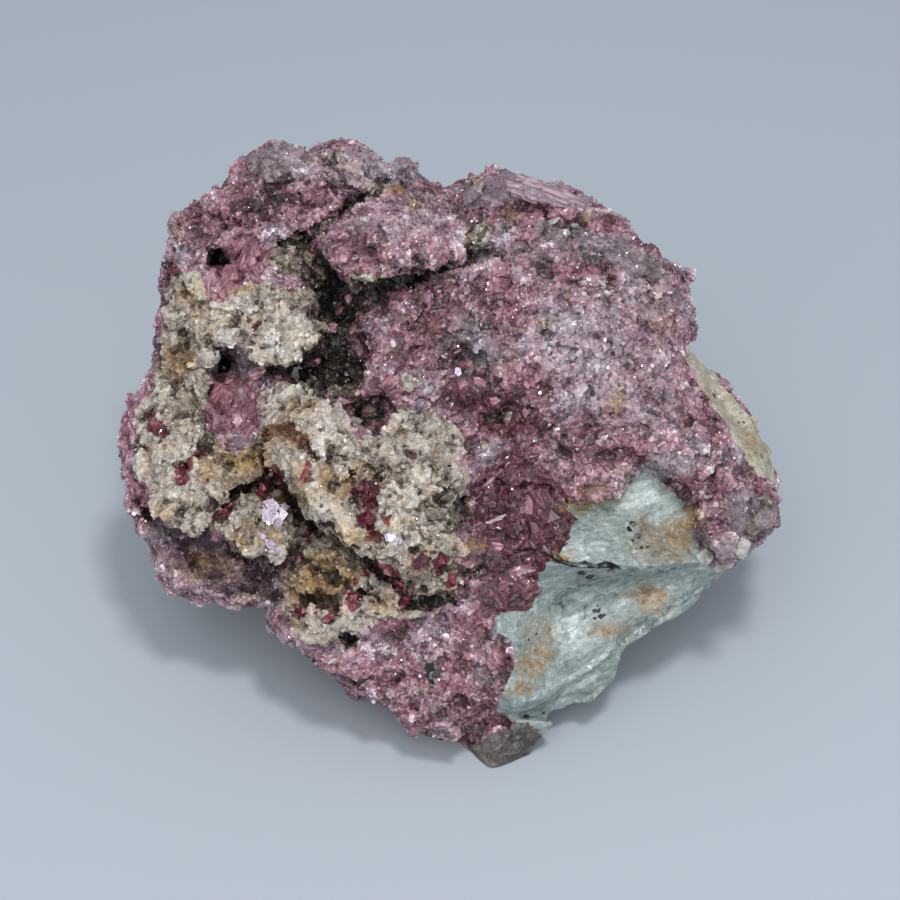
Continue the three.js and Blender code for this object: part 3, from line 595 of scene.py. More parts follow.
def weighMinerals(points, normals, wobbly):
    # how much of each mineral shows at each point, from 0 to 1, and how much painted shade each recess takes
    right, down = wobbly
    toEye = np.array(eye) - points
    facing = np.einsum("ij,ij->i", normals, toEye) / np.linalg.norm(toEye, axis=1)
    plainRight, plainDown, out = frontView(points)
    onFace = smoothStep(*frontLimits["facing"], facing) * smoothStep(*frontLimits["out"], out)
    recess = np.clip(-faceHeights(points, wobbly) / recessShadeDepth, 0, 1)
    weights = {"front": onFace}
    for mineral, outlines in mineralOutlines.items():
        depth = np.full(len(points), -np.inf)
        kept = crispMinerals.get(mineral, 1)
        keptRight = plainRight + kept * (right - plainRight)
        keptDown = plainDown + kept * (down - plainDown)
        for outline in outlines:
            depth = np.maximum(depth, insideBy(keptRight, keptDown, outline))
        weights[mineral] = smoothStep(-edgeSoftness, edgeSoftness, depth) * onFace
    # recessed places of the face are painted darker, as shade, except on the slab
    weights["grime"] = recess * onFace * (1 - weights["slab"])
    for drift, patches in mineralDrifts.items():
        total = np.zeros(len(points))
        for x, y, width, height, strength in patches:
            reach = np.hypot((right - x) / width, (down - y) / height)
            total = np.maximum(total, strength * smoothStep(1.35, 0.45, reach))
        weights[drift] = total * onFace
    for mineral, (size, level, seed) in hiddenBlotches.items():
        blotch = latticeNoise(points, size * mm, seed)
        blotch += 0.5 * latticeNoise(points, 0.4 * size * mm, seed + 40)
        blotch += 0.25 * latticeNoise(points, 0.15 * size * mm, seed + 80)
        blotch = smoothStep(level, level + 0.12, blotch)
        weights[mineral] = np.maximum(weights[mineral], (1 - onFace) * blotch)
    under = smoothStep(*slabUnder["x"], points[:, 0]) * smoothStep(*slabUnder["y"], points[:, 1])
    under *= 1 - onFace
    weights["slab"] = np.maximum(weights["slab"], under * smoothStep(*slabUnder["z"], points[:, 2]))
    for mineral in ("albite", "dark", "raspberry", "quartz"):
        weights[mineral] *= 1 - weights["slab"] * (1 - onFace)
    return weights


rockSettings = {
    "broadVoxel": 0.5 * mm,
    "voxel": 0.34 * mm,
    "smoothing": 4,
    "maxTriangles": 196000,
    "lumps": (4.5, 0.45),     # size and height in mm of the low lumps
    "ledges": (3.0, 0.22),    # size in mm of broken facets and how steeply they lean
    "grains": (1.1, 0.18),    # the same for single grains
    # how much of that roughness each smooth mineral keeps
    "smooth": {"slab": 0.15, "foot": 0.5, "raspberry": 0.6, "plate": 0.3, "lavender": 0.5, "rose": 0.8,
               "quartz": 0.7, "dense": 0.5},
    # how far each mineral's crust stands out or lies back, in mm
    "crusts": {"albite": 0.8, "dark": -0.5, "raspberry": -0.2, "slab": 0.2, "plate": 0.3, "wine": -0.4,
               "pale": 0.3},
    "pits": {"sizes": (1.6, 0.7), "depth": 0.6, "stain": 0.5},  # mm, and how much darker the pits are painted
    "fibres": (0.03, 2.4, 0.5),  # height, length and width in mm of the streaks that run along the slab
    "fibreTurn": 22,          # degrees that they rise to the right
    # leans the foot out at the right, in mm: where it sets in, over which height, and how far it goes
    "foot": {"x": (7, 12), "y": (-16, -20), "z": (18, 15), "rise": (0, 9), "shift": (-1.4, 2.0)},
    # heights over which the flat resting break ends, for the broad breaks and for the fine ones
    "rest": {"broad": (0.3 * mm, 2.5 * mm), "fine": (0.2 * mm, 1.6 * mm)},
}


def rockSurfaceTree():
    # lifts the surface in broken facets: each takes the plane of its nearest cell, which leans its own way
    tree = bpy.data.node_groups.new("rockSurface", "GeometryNodeTree")
    face = tree.interface
    face.new_socket("Geometry", in_out="INPUT", socket_type="NodeSocketGeometry")
    for name in ("Lump Size", "Lump Height", "Ledge Size", "Ledge Lean", "Grain Size", "Grain Lean"):
        face.new_socket(name, in_out="INPUT", socket_type="NodeSocketFloat")
    face.new_socket("Geometry", in_out="OUTPUT", socket_type="NodeSocketGeometry")
    given = addNode(tree, "NodeGroupInput")
    position = addNode(tree, "GeometryNodeInputPosition")
    normal = addNode(tree, "GeometryNodeInputNormal")
    rough = addNode(tree, "GeometryNodeInputNamedAttribute", {"Name": "rough"}, data_type="FLOAT")

    def facets(size, lean):
        scaled = addNode(tree, "ShaderNodeVectorMath", {0: position, 1: size}, operation="DIVIDE")
        cells = addNode(tree, "ShaderNodeTexVoronoi", {"Vector": scaled, "Scale": 1.0})
        offset = addNode(tree, "ShaderNodeVectorMath", {0: scaled, 1: cells.outputs["Position"]},
                         operation="SUBTRACT")
        tilt = addNode(tree, "ShaderNodeVectorMath", {0: cells.outputs["Color"], 1: (0.5, 0.5, 0.5)},
                       operation="SUBTRACT")
        height = addNode(tree, "ShaderNodeVectorMath", {0: offset, 1: tilt}, operation="DOT_PRODUCT")
        split = addNode(tree, "ShaderNodeSeparateXYZ", {0: tilt})
        step = addNode(tree, "ShaderNodeMath", {0: split, 1: 0.5, 2: height}, operation="MULTIPLY_ADD")
        leaned = addNode(tree, "ShaderNodeMath", {0: step, 1: lean}, operation="MULTIPLY")
        return addNode(tree, "ShaderNodeMath", {0: leaned, 1: size}, operation="MULTIPLY")

    ledges = facets(given.outputs["Ledge Size"], given.outputs["Ledge Lean"])
    grains = facets(given.outputs["Grain Size"], given.outputs["Grain Lean"])
    lumpPlace = addNode(tree, "ShaderNodeVectorMath", {0: position, 1: given.outputs["Lump Size"]},
                        operation="DIVIDE")
    lumpNoise = addNode(tree, "ShaderNodeTexNoise", {"Vector": lumpPlace, "Scale": 1.0, "Detail": 3.0})
    lumpMiddle = addNode(tree, "ShaderNodeMath", {0: lumpNoise, 1: 0.5}, operation="SUBTRACT")
    lumps = addNode(tree, "ShaderNodeMath", {0: lumpMiddle, 1: given.outputs["Lump Height"]},
                    operation="MULTIPLY")
    both = addNode(tree, "ShaderNodeMath", {0: ledges, 1: grains}, operation="ADD")
    total = addNode(tree, "ShaderNodeMath", {0: both, 1: lumps}, operation="ADD")
    eased = addNode(tree, "ShaderNodeMath", {0: total, 1: rough}, operation="MULTIPLY")
    # the height is kept for the material, which paints low places darker and high ones lighter, as shade
    kept = addNode(tree, "GeometryNodeStoreNamedAttribute",
                   {"Geometry": given.outputs[0], "Name": "height", "Value": eased},
                   data_type="FLOAT", domain="POINT")
    push = addNode(tree, "ShaderNodeVectorMath", {0: normal, "Scale": eased.outputs[0]}, operation="SCALE")
    moved = addNode(tree, "GeometryNodeSetPosition", {"Geometry": kept, "Offset": push})
    addNode(tree, "NodeGroupOutput", {0: moved})
    return tree


def remeshed(piece, voxel, smoothing):
    fine = piece.modifiers.new("fine", "REMESH")
    fine.mode = "VOXEL"
    fine.voxel_size = voxel
    ease = piece.modifiers.new("ease", "SMOOTH")
    ease.iterations = smoothing
    bakeModifiers(piece)


def slabFibres(points):
    # streaks that run along the slab, in mm
    turn = math.radians(rockSettings["fibreTurn"])
    height, length, width = rockSettings["fibres"]
    along = points @ np.array(uAxis * math.cos(turn) + vAxis * math.sin(turn))
    across = points @ np.array(vAxis * math.cos(turn) - uAxis * math.sin(turn))
    spread = np.stack([along / length, across / width, points @ np.array(wAxis) / length], axis=1)
    return height * (latticeNoise(spread, 1, 21) + 0.6 * latticeNoise(spread, 0.4, 22))


def albitePits(points):
    # small pits of the albite, from 0 to 1
    coarse, fine = rockSettings["pits"]["sizes"]
    noise = latticeNoise(points, coarse * mm, 31) + 0.6 * latticeNoise(points, fine * mm, 32)
    return smoothStep(0.3, 0.8, noise)


def buildRock():
    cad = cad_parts["lepidolite_specimen"]
    rock = linkObject("lepidolite_rock", cad.data.copy())
    rock.data.materials.clear()
    shape = bmesh.new()
    shape.from_mesh(rock.data)
    bmesh.ops.remove_doubles(shape, verts=shape.verts, dist=0.001 * mm)
    shape.to_mesh(rock.data)
    shape.free()
    # the breaks of the face, pushed along the line of sight so that they stay in their places
    remeshed(rock, rockSettings["broadVoxel"], rockSettings["smoothing"])
    points = readVectors(rock.data, "co")
    normals = readVectors(rock.data, "normal")
    wobbly = raggedView(points)
    weights = weighMinerals(points, normals, wobbly)
    ground = smoothStep(*rockSettings["rest"]["broad"], points[:, 2])
    sight = np.array(eye) - points
    sight /= np.linalg.norm(sight, axis=1)[:, None]
    crust = sum(rise * weights[mineral] for mineral, rise in rockSettings["crusts"].items())
    push = faceHeights(points, wobbly) * weights["front"] + slabShift(points, weights["front"])
    points = points + (sight * (push * ground)[:, None] + normals * (crust * ground)[:, None]) * mm
    foot = rockSettings["foot"]
    share = smoothStep(*foot["x"], points[:, 0] / mm)
    share *= smoothStep(*foot["z"], points[:, 2] / mm) * smoothStep(*foot["y"], points[:, 1] / mm)
    base, above = foot["shift"]
    points[:, 0] += share * (base + (above - base) * smoothStep(*foot["rise"], points[:, 2] / mm)) * mm
    writePositions(rock.data, points)
    remeshed(rock, rockSettings["voxel"], 1)
    print("face broken:", len(rock.data.polygons), "faces")

    # minerals and roughness on the finer mesh, then its facets
    points = readVectors(rock.data, "co")
    normals = readVectors(rock.data, "normal")
    weights = weighMinerals(points, normals, raggedView(points))
    ground = smoothStep(*rockSettings["rest"]["fine"], points[:, 2])
    # the albite pits are sunk and painted darker
    pits = albitePits(points) * weights["albite"] * (1 - weights["dense"]) * ground
    weights["grime"] = np.maximum(weights["grime"], rockSettings["pits"]["stain"] * pits)
    points -= normals * (pits * rockSettings["pits"]["depth"] * mm)[:, None]
    # the thin cracks are cut, and their painted shade joins the rest of the painted shade
    cut, stain = fineCrackDepths(raggedView(points))
    weights["grime"] = np.maximum(weights["grime"], stain * weights["front"])
    points -= normals * (cut * weights["front"] * ground * mm)[:, None]
    for mineral, values in weights.items():
        storeFloat(rock.data, mineral, values)
    rough = np.ones(len(points))
    for mineral, kept in rockSettings["smooth"].items():
        rough *= 1 - (1 - kept) * weights[mineral]
    storeFloat(rock.data, "rough", rough * (1 + 0.5 * weights["dark"] + 0.2 * weights["albite"]) * ground)
    fibres = slabFibres(points) * weights["slab"] * ground * mm
    writePositions(rock.data, points + normals * fibres[:, None])
    surface = rock.modifiers.new("surface", "NODES")
    surface.node_group = rockSurfaceTree()
    setInputs(surface, {
        "Lump Size": rockSettings["lumps"][0] * mm, "Lump Height": 2 * rockSettings["lumps"][1] * mm,
        "Ledge Size": rockSettings["ledges"][0] * mm, "Ledge Lean": rockSettings["ledges"][1] * 2,
        "Grain Size": rockSettings["grains"][0] * mm, "Grain Lean": rockSettings["grains"][1] * 2,
    })
    bakeModifiers(rock)
    triangles = sum(len(p.vertices) - 2 for p in rock.data.polygons)
    print("rock surface:", triangles, "triangles")
    if triangles > rockSettings["maxTriangles"]:
        thin = rock.modifiers.new("thin", "DECIMATE")
        thin.ratio = rockSettings["maxTriangles"] / triangles
        bakeModifiers(rock)
    return rock


rock = buildRock()
print("rock built:", len(rock.data.polygons), "faces")


# Lepidolite rock, broken and unpolished: sugary pink mica with a glassy glint on single grains,
# matt cream albite, smooth green-white feldspar and iron stain. Their IOR lies from 1.53 to 1.64,
# and their grains are rough as a mass but bright one by one.
mineralColours = {
    "rose": [(0.0, "#2c141b"), (0.22, "#5d333f"), (0.46, "#8d5e6b"), (0.7, "#ad818e"), (0.88, "#d2b4bd"),
             (1.0, "#efe3e7")],
    "lilac": [(0.0, "#292125"), (0.24, "#554850"), (0.5, "#82727c"), (0.74, "#a899a3"), (0.9, "#d0c6cc"),
              (1.0, "#f0ecee")],
    "pale": [(0.0, "#4e434a"), (0.25, "#82757d"), (0.5, "#a79aa2"), (0.75, "#c5bbc1"), (1.0, "#eae5e8")],
    "raspberry": [(0.0, "#12070a"), (0.24, "#30161e"), (0.48, "#592e3a"), (0.7, "#80505c"), (0.88, "#b08690"),
                  (1.0, "#e0cbd1")],
    "cleaved": [(0.0, "#341b23"), (0.26, "#66404a"), (0.52, "#8f626e"), (0.78, "#b58e98"), (1.0, "#e6d3d8")],
    "albite": [(0.0, "#1a120c"), (0.16, "#4c3c30"), (0.38, "#8c8379"), (0.62, "#b6b1a8"), (0.85, "#d8d6d1"),
               (1.0, "#f6f6f5")],
    "tan": [(0.0, "#20140a"), (0.25, "#5f472b"), (0.5, "#957852"), (0.75, "#b9a27b"), (1.0, "#ddd0b3")],
    "crimson": [(0.0, "#1b0508"), (0.25, "#3f0f19"), (0.5, "#6c2431"), (0.75, "#964553"), (1.0, "#cf8f96")],
    "slab": [(0.0, "#1c201d"), (0.12, "#4a524e"), (0.26, "#6a7572"), (0.46, "#85908c"), (0.66, "#9eaaa7"),
             (0.84, "#c0cac7"), (1.0, "#edf0ee")],
    "quartz": [(0.0, "#3b3034"), (0.35, "#6d5f65"), (0.65, "#9a878e"), (1.0, "#d2c5ca")],
    "foot": [(0.0, "#282320"), (0.3, "#49423d"), (0.6, "#68615b"), (0.85, "#948e89"), (1.0, "#d6d3d0")],
    "lavender": [(0.0, "#4a3841"), (0.35, "#705b65"), (0.65, "#927f88"), (1.0, "#cbbfc4")],
    "plate": [(0.0, "#554d40"), (0.3, "#8a826f"), (0.6, "#ada593"), (1.0, "#d9d5c9")],
    # dark grains, and the painted shade of holes and cracks
    "dark": [(0.0, "#0a0907"), (0.25, "#201c15"), (0.42, "#403a2e"), (0.6, "#6f6857"), (0.85, "#a8a18c"),
             (1.0, "#d0cab8")],
    "rust": [(0.0, "#38250f"), (0.3, "#6a4d2a"), (0.6, "#96784a"), (0.85, "#b59c70"), (1.0, "#d5c4a2")],
}
rockTexture = {
    "cloud": 11.0,      # mm, slow drift from dark to light
    "drift": 5.5,       # mm, drift from rose to grey
    "patch": 2.4,       # mm, clumps of grains
    "cell": 0.6,        # mm, single grains
    "speck": 0.3,       # mm, the finest grains that show
    "stain": 1.0,       # mm, spots of iron stain
    "streak": 0.65,     # mm, width of the streaks along the slab
    "streakStretch": (2.6, 1.0, 1.0),
    "streakTurn": (0.0, -0.28, 0.26),
    "vein": 0.45,       # mm, width of the fibres in the dark mica
    "veinStretch": (5.0, 1.0, 1.0),
    "veinTurns": ((0.0, 0.7, -0.86), (0.0, -0.6, 0.67)),
    "cleavage": 2.4,    # mm, facets of the slab
    "gapShade": 0.12,   # how much darker the rock is between its grains
    "lean": 0.5,        # how far single grains lean their gloss
    "bump": 0.1,        # mm
}
# the order in which minerals lie over the pink mica, and how ragged their edges are at grain size
mineralLayers = {"raspberry": 0.9, "quartz": 0.8, "albite": 0.9, "crimson": 0.9, "cleaved": 0.5,
                 "lavender": 0.3, "plate": 0.45, "slab": 0.5, "foot": 0.8, "dark": 1.5}


def rockMaterial(name, loose):
    # own holds what the mesh says of each point: how much of each mineral, grime and painted shade, height
    # and grain colour;
    # loose grains take one colour each, from where they sit; the rock between them takes it point by point
    material = bpy.data.materials.new(name)
    material.use_nodes = True
    tree = material.node_tree
    tree.nodes.clear()
    perMm = 1 / mm
    own = {kind: addNode(tree, "ShaderNodeAttribute", attribute_name=kind).outputs["Fac"]
           for kind in (*mineralOutlines, *mineralDrifts, "grime", "height", "tone", "pick")}
    own["cleaved"] = own["rose"]
    if loose:
        place = addNode(tree, "ShaderNodeAttribute", attribute_name="seat").outputs["Vector"]
    else:
        place = addNode(tree, "ShaderNodeTexCoord").outputs["Object"]
    cloud = addNode(tree, "ShaderNodeTexNoise",
                    {"Vector": place, "Scale": perMm / rockTexture["cloud"], "Detail": 3.0})
    drift = addNode(tree, "ShaderNodeTexNoise",
                    {"Vector": place, "Scale": perMm / rockTexture["drift"], "Detail": 5.0})
    patch = addNode(tree, "ShaderNodeTexNoise",
                    {"Vector": place, "Scale": perMm / rockTexture["patch"], "Detail": 4.0, "Roughness": 0.6})
    cell = addNode(tree, "ShaderNodeTexVoronoi", {"Vector": place, "Scale": perMm / rockTexture["cell"]})
    speck = addNode(tree, "ShaderNodeTexVoronoi", {"Vector": place, "Scale": perMm / rockTexture["speck"]})
    cellRandom = addNode(tree, "ShaderNodeSeparateColor", {0: cell.outputs["Color"]})
    speckRandom = addNode(tree, "ShaderNodeSeparateColor", {0: speck.outputs["Color"]})
    tone = own["tone"] if loose else cellRandom.outputs[0]
    pick = own["pick"] if loose else cellRandom.outputs[1]

    # one value drives every mineral's ramp: slow drift, clumps, grains, how high the grain stands, which
    # paints low places darker as shade, and the grime and painted shade of recesses and cracks
    value = -0.54 if loose else -0.54 - rockTexture["gapShade"]
    for source, share in ((cloud, 0.5), (patch, 1.05), (tone, 0.34), (speckRandom.outputs[1], 0.2),
                          (own["height"], 260.0), (own["grime"], -0.4)):
        value = addNode(tree, "ShaderNodeMath", {0: source, 1: share, 2: value}, operation="MULTIPLY_ADD")
    pinkValue = -0.075
    for source, share in ((value, 1.2), (own["wine"], -0.24)):
        pinkValue = addNode(tree, "ShaderNodeMath", {0: source, 1: share, 2: pinkValue},
                            operation="MULTIPLY_ADD")

    # pink is rose mica with clumps of grey lilac mica
    lilac = -2.55
    for source, share in ((drift, 4.5), (pick, 1.1), (own["grey"], 1.3), (own["wine"], -0.5)):
        lilac = addNode(tree, "ShaderNodeMath", {0: source, 1: share, 2: lilac}, operation="MULTIPLY_ADD")
    lilac.use_clamp = True
    rose = addNode(tree, "ShaderNodeValToRGB", {0: pinkValue}, stops=mineralColours["rose"])
    grey = addNode(tree, "ShaderNodeValToRGB", {0: pinkValue}, stops=mineralColours["lilac"])
    colour = addNode(tree, "ShaderNodeMix", {"Factor": lilac, "A": rose, "B": grey}, data_type="RGBA")
    paleGrains = addNode(tree, "ShaderNodeMapRange", {"Value": pick, "From Min": 0.1, "From Max": 0.5})
    paleShare = addNode(tree, "ShaderNodeMath", {0: own["pale"], 1: paleGrains}, operation="MULTIPLY")
    pale = addNode(tree, "ShaderNodeValToRGB", {0: value}, stops=mineralColours["pale"])
    colour = addNode(tree, "ShaderNodeMix", {"Factor": paleShare, "A": colour, "B": pale}, data_type="RGBA")

    # cream is white albite with clumps of tan, and tan lies on the pink in places too
    tanGround = -1.9
    for source, share in ((patch, 3.4), (pick, 0.5), (own["dense"], 0.25), (own["tan"], 0.9)):
        tanGround = addNode(tree, "ShaderNodeMath", {0: source, 1: share, 2: tanGround},
                            operation="MULTIPLY_ADD")
    tanGround.use_clamp = True
    tanOnPink = addNode(tree, "ShaderNodeMath", {0: own["tan"], 1: tanGround}, operation="MULTIPLY")
    calm = 0.155
    for source, share in ((value, 0.82), (own["grime"], -0.28), (own["dense"], 0.06)):
        calm = addNode(tree, "ShaderNodeMath", {0: source, 1: share, 2: calm}, operation="MULTIPLY_ADD")
    tan = addNode(tree, "ShaderNodeValToRGB", {0: calm}, stops=mineralColours["tan"])
    white = addNode(tree, "ShaderNodeValToRGB", {0: calm}, stops=mineralColours["albite"])
    cream = addNode(tree, "ShaderNodeMix", {"Factor": tanGround, "A": white, "B": tan}, data_type="RGBA")
    colour = addNode(tree, "ShaderNodeMix", {"Factor": tanOnPink, "A": colour, "B": tan}, data_type="RGBA")

    # odd near-white grains everywhere, which also serve as painted sparkle highlights
    whiteGrainAndPaintedSparkle = addNode(tree, "ShaderNodeMapRange",
                         {"Value": pick, "From Min": 0.93, "From Max": 0.95, "To Max": 0.8})
    colour = addNode(tree, "ShaderNodeMix", {"Factor": whiteGrainAndPaintedSparkle, "A": colour, "B": white}, data_type="RGBA")

    # the streaks of the slab, and the other minerals with edges ragged at grain size
    turned = addNode(tree, "ShaderNodeMapping", {"Vector": place, "Rotation": rockTexture["streakTurn"],
                     "Scale": rockTexture["streakStretch"]}, vector_type="TEXTURE")
    streak = addNode(tree, "ShaderNodeTexNoise", {"Vector": turned, "Scale": perMm / rockTexture["streak"],
                     "Detail": 6.0, "Roughness": 0.7, "Distortion": 0.4})
    facets = addNode(tree, "ShaderNodeTexVoronoi",
                     {"Vector": turned, "Scale": perMm / rockTexture["cleavage"]})
    facetRandom = addNode(tree, "ShaderNodeSeparateColor", {0: facets.outputs["Color"]})
    fibrous = -0.545
    for source, share in ((streak, 1.3), (own["pale"], 0.24), (own["grey"], -0.24), (patch, 0.35),
                          (facetRandom.outputs[0], 0.2), (speckRandom.outputs[0], 0.14),
                          (cellRandom.outputs[2], 0.08), (own["grime"], -1.1)):
        fibrous = addNode(tree, "ShaderNodeMath", {0: source, 1: share, 2: fibrous}, operation="MULTIPLY_ADD")
    fans = []
    for veinTurn in rockTexture["veinTurns"]:
        fanned = addNode(tree, "ShaderNodeMapping", {"Vector": place, "Rotation": veinTurn,
                         "Scale": rockTexture["veinStretch"]}, vector_type="TEXTURE")
        fan = addNode(tree, "ShaderNodeTexNoise", {"Vector": fanned, "Scale": perMm / rockTexture["vein"],
                      "Detail": 5.0, "Roughness": 0.6, "Distortion": 0.5})
        fans.append(fan)
    fanShare = addNode(tree, "ShaderNodeMath", {0: drift, 1: 9.0, 2: -4.0}, operation="MULTIPLY_ADD",
                       use_clamp=True)
    fan = addNode(tree, "ShaderNodeMix", {"Factor": fanShare, "A": fans[0], "B": fans[1]})
    veined = -0.78
    for source, share in ((fan, 1.9), (value, 0.6)):
        veined = addNode(tree, "ShaderNodeMath", {0: source, 1: share, 2: veined}, operation="MULTIPLY_ADD")
    ragged = addNode(tree, "ShaderNodeMath", {0: pick, 1: -0.5}, operation="ADD")
    drivers = {"slab": fibrous, "plate": fibrous, "lavender": fibrous, "raspberry": veined, "cleaved": veined}
    for mineral, raggedBy in mineralLayers.items():
        over = cream
        if mineral != "albite":
            driver = drivers.get(mineral, value)
            over = addNode(tree, "ShaderNodeValToRGB", {0: driver}, stops=mineralColours[mineral])
        torn = addNode(tree, "ShaderNodeMath", {0: ragged, 1: raggedBy, 2: 1.0}, operation="MULTIPLY_ADD")
        edge = addNode(tree, "ShaderNodeMath", {0: own[mineral], 1: torn}, operation="MULTIPLY")
        share = addNode(tree, "ShaderNodeMapRange", {"Value": edge, "From Min": 0.4, "From Max": 0.6})
        colour = addNode(tree, "ShaderNodeMix", {"Factor": share, "A": colour, "B": over}, data_type="RGBA")

    # iron stain soaks in by patches
    spotted = addNode(tree, "ShaderNodeTexNoise", {"Vector": place, "Scale": perMm / rockTexture["stain"],
                      "Detail": 6.0, "Roughness": 0.85})
    soak = addNode(tree, "ShaderNodeMath", {0: spotted, 1: 6.5, 2: -2.55}, operation="MULTIPLY_ADD",
                   use_clamp=True)
    soaked = addNode(tree, "ShaderNodeMath", {0: own["rust"], 1: 1.3}, operation="MULTIPLY", use_clamp=True)
    stained = addNode(tree, "ShaderNodeMath", {0: soaked, 1: soak}, operation="MULTIPLY", use_clamp=True)
    rust = addNode(tree, "ShaderNodeValToRGB", {0: calm}, stops=mineralColours["rust"])
    colour = addNode(tree, "ShaderNodeMix", {"Factor": stained, "A": colour, "B": rust}, data_type="RGBA")

    # odd near-black grains, off the smooth minerals
    blackGrain = addNode(tree, "ShaderNodeMapRange",
                         {"Value": pick, "From Min": 0.03, "From Max": 0.02, "To Max": 0.85})
    smoothParts = addNode(tree, "ShaderNodeMath", {0: own["slab"], 1: own["foot"]}, operation="MAXIMUM")
    roughParts = addNode(tree, "ShaderNodeMath", {0: 1.0, 1: smoothParts}, operation="SUBTRACT",
                         use_clamp=True)
    blackShare = addNode(tree, "ShaderNodeMath", {0: blackGrain, 1: roughParts}, operation="MULTIPLY")
    black = addNode(tree, "ShaderNodeValToRGB", {0: value}, stops=mineralColours["dark"])
    colour = addNode(tree, "ShaderNodeMix", {"Factor": blackShare, "A": colour, "B": black}, data_type="RGBA")

    # gloss: mica grains are pearly, albite is matt; each grain leans its own way
    gloss = addNode(tree, "ShaderNodeMapRange",
                    {"Value": tone, "From Min": 0.5, "From Max": 0.95, "To Min": 0.55, "To Max": 0.2})
    matt = addNode(tree, "ShaderNodeMath", {0: own["albite"], 1: 0.12, 2: gloss}, operation="MULTIPLY_ADD",
                   use_clamp=True)
    relief = addNode(tree, "ShaderNodeMath", {0: speckRandom.outputs[2], 1: 0.5, 2: patch},
                     operation="MULTIPLY_ADD")
    bump = addNode(tree, "ShaderNodeBump",
                   {"Height": relief, "Strength": 0.5, "Distance": rockTexture["bump"] * mm})
    normal = bump
    if not loose:
        lean = addNode(tree, "ShaderNodeVectorMath", {0: cell.outputs["Color"], 1: (0.5, 0.5, 0.5)},
                       operation="SUBTRACT")
        for share in (rockTexture["lean"], roughParts.outputs[0]):
            lean = addNode(tree, "ShaderNodeVectorMath", {0: lean, "Scale": share}, operation="SCALE")
        leaned = addNode(tree, "ShaderNodeVectorMath", {0: bump, 1: lean}, operation="ADD")
        normal = addNode(tree, "ShaderNodeVectorMath", {0: leaned}, operation="NORMALIZE")
    shader = addNode(tree, "ShaderNodeBsdfPrincipled",
                     {"Base Color": colour, "Roughness": matt, "Normal": normal, "IOR": 1.56})
    addNode(tree, "ShaderNodeOutputMaterial", {"Surface": shader})
    return material


rock.data.materials.append(rockMaterial("broken_lepidolite_rock", loose=False))
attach(rock, "root")
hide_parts("lepidolite_specimen")
print("rock finished")


# loose grains that stand on the rock: pointed grains with a few flakes among them, blocky in the albite;
# density per square mm, size in mm, thickness and top as shares of the size, tilt in degrees
grainSets = {
    "mica_grains_upper": {"zone": "micaUpper", "density": 5.0, "size": (0.22, 0.85), "thickness": 0.7,
                          "sides": 4, "top": 0.0, "tilt": 55, "seed": 3},
    "mica_grains_lower": {"zone": "micaLower", "density": 7.0, "size": (0.22, 0.85), "thickness": 0.7,
                          "sides": 4, "top": 0.0, "tilt": 55, "seed": 4},
    "mica_flakes": {"zone": "micaFront", "density": 0.5, "size": (0.5, 1.4), "thickness": 0.35, "sides": 5,
                    "top": 0.42, "tilt": 45, "seed": 5},
    "mica_grains_back": {"zone": "micaBack", "density": 3.0, "size": (0.35, 1.5), "thickness": 0.7,
                         "sides": 4, "top": 0.0, "tilt": 55, "seed": 6},
    "albite_grains_front": {"zone": "albiteFront", "density": 7.0, "size": (0.2, 0.6), "thickness": 0.6,
                            "sides": 4, "top": 0.0, "tilt": 40, "seed": 7},
    "albite_blocks": {"zone": "albiteFront", "density": 0.6, "size": (0.4, 1.0), "thickness": 0.6, "sides": 4,
                      "top": 0.4, "tilt": 60, "seed": 8},
    "albite_grains_back": {"zone": "albiteBack", "density": 4.0, "size": (0.35, 1.3), "thickness": 0.9,
                           "sides": 4, "top": 0.0, "tilt": 80, "seed": 9},
}
grainLimit = 195000  # triangles in one piece
grainGround = {
    "smooth": (0.05, 0.4),           # weight of the smooth minerals over which grains die out
    "height": (0.8 * mm, 1.6 * mm),  # above the resting break
    "halves": (-1 * mm, 1 * mm),     # where the lower set passes into the upper one, along v
    "missing": {"quartz": 0.3, "raspberry": 0.75, "dense": 0.8},  # share of grains that these lack
}


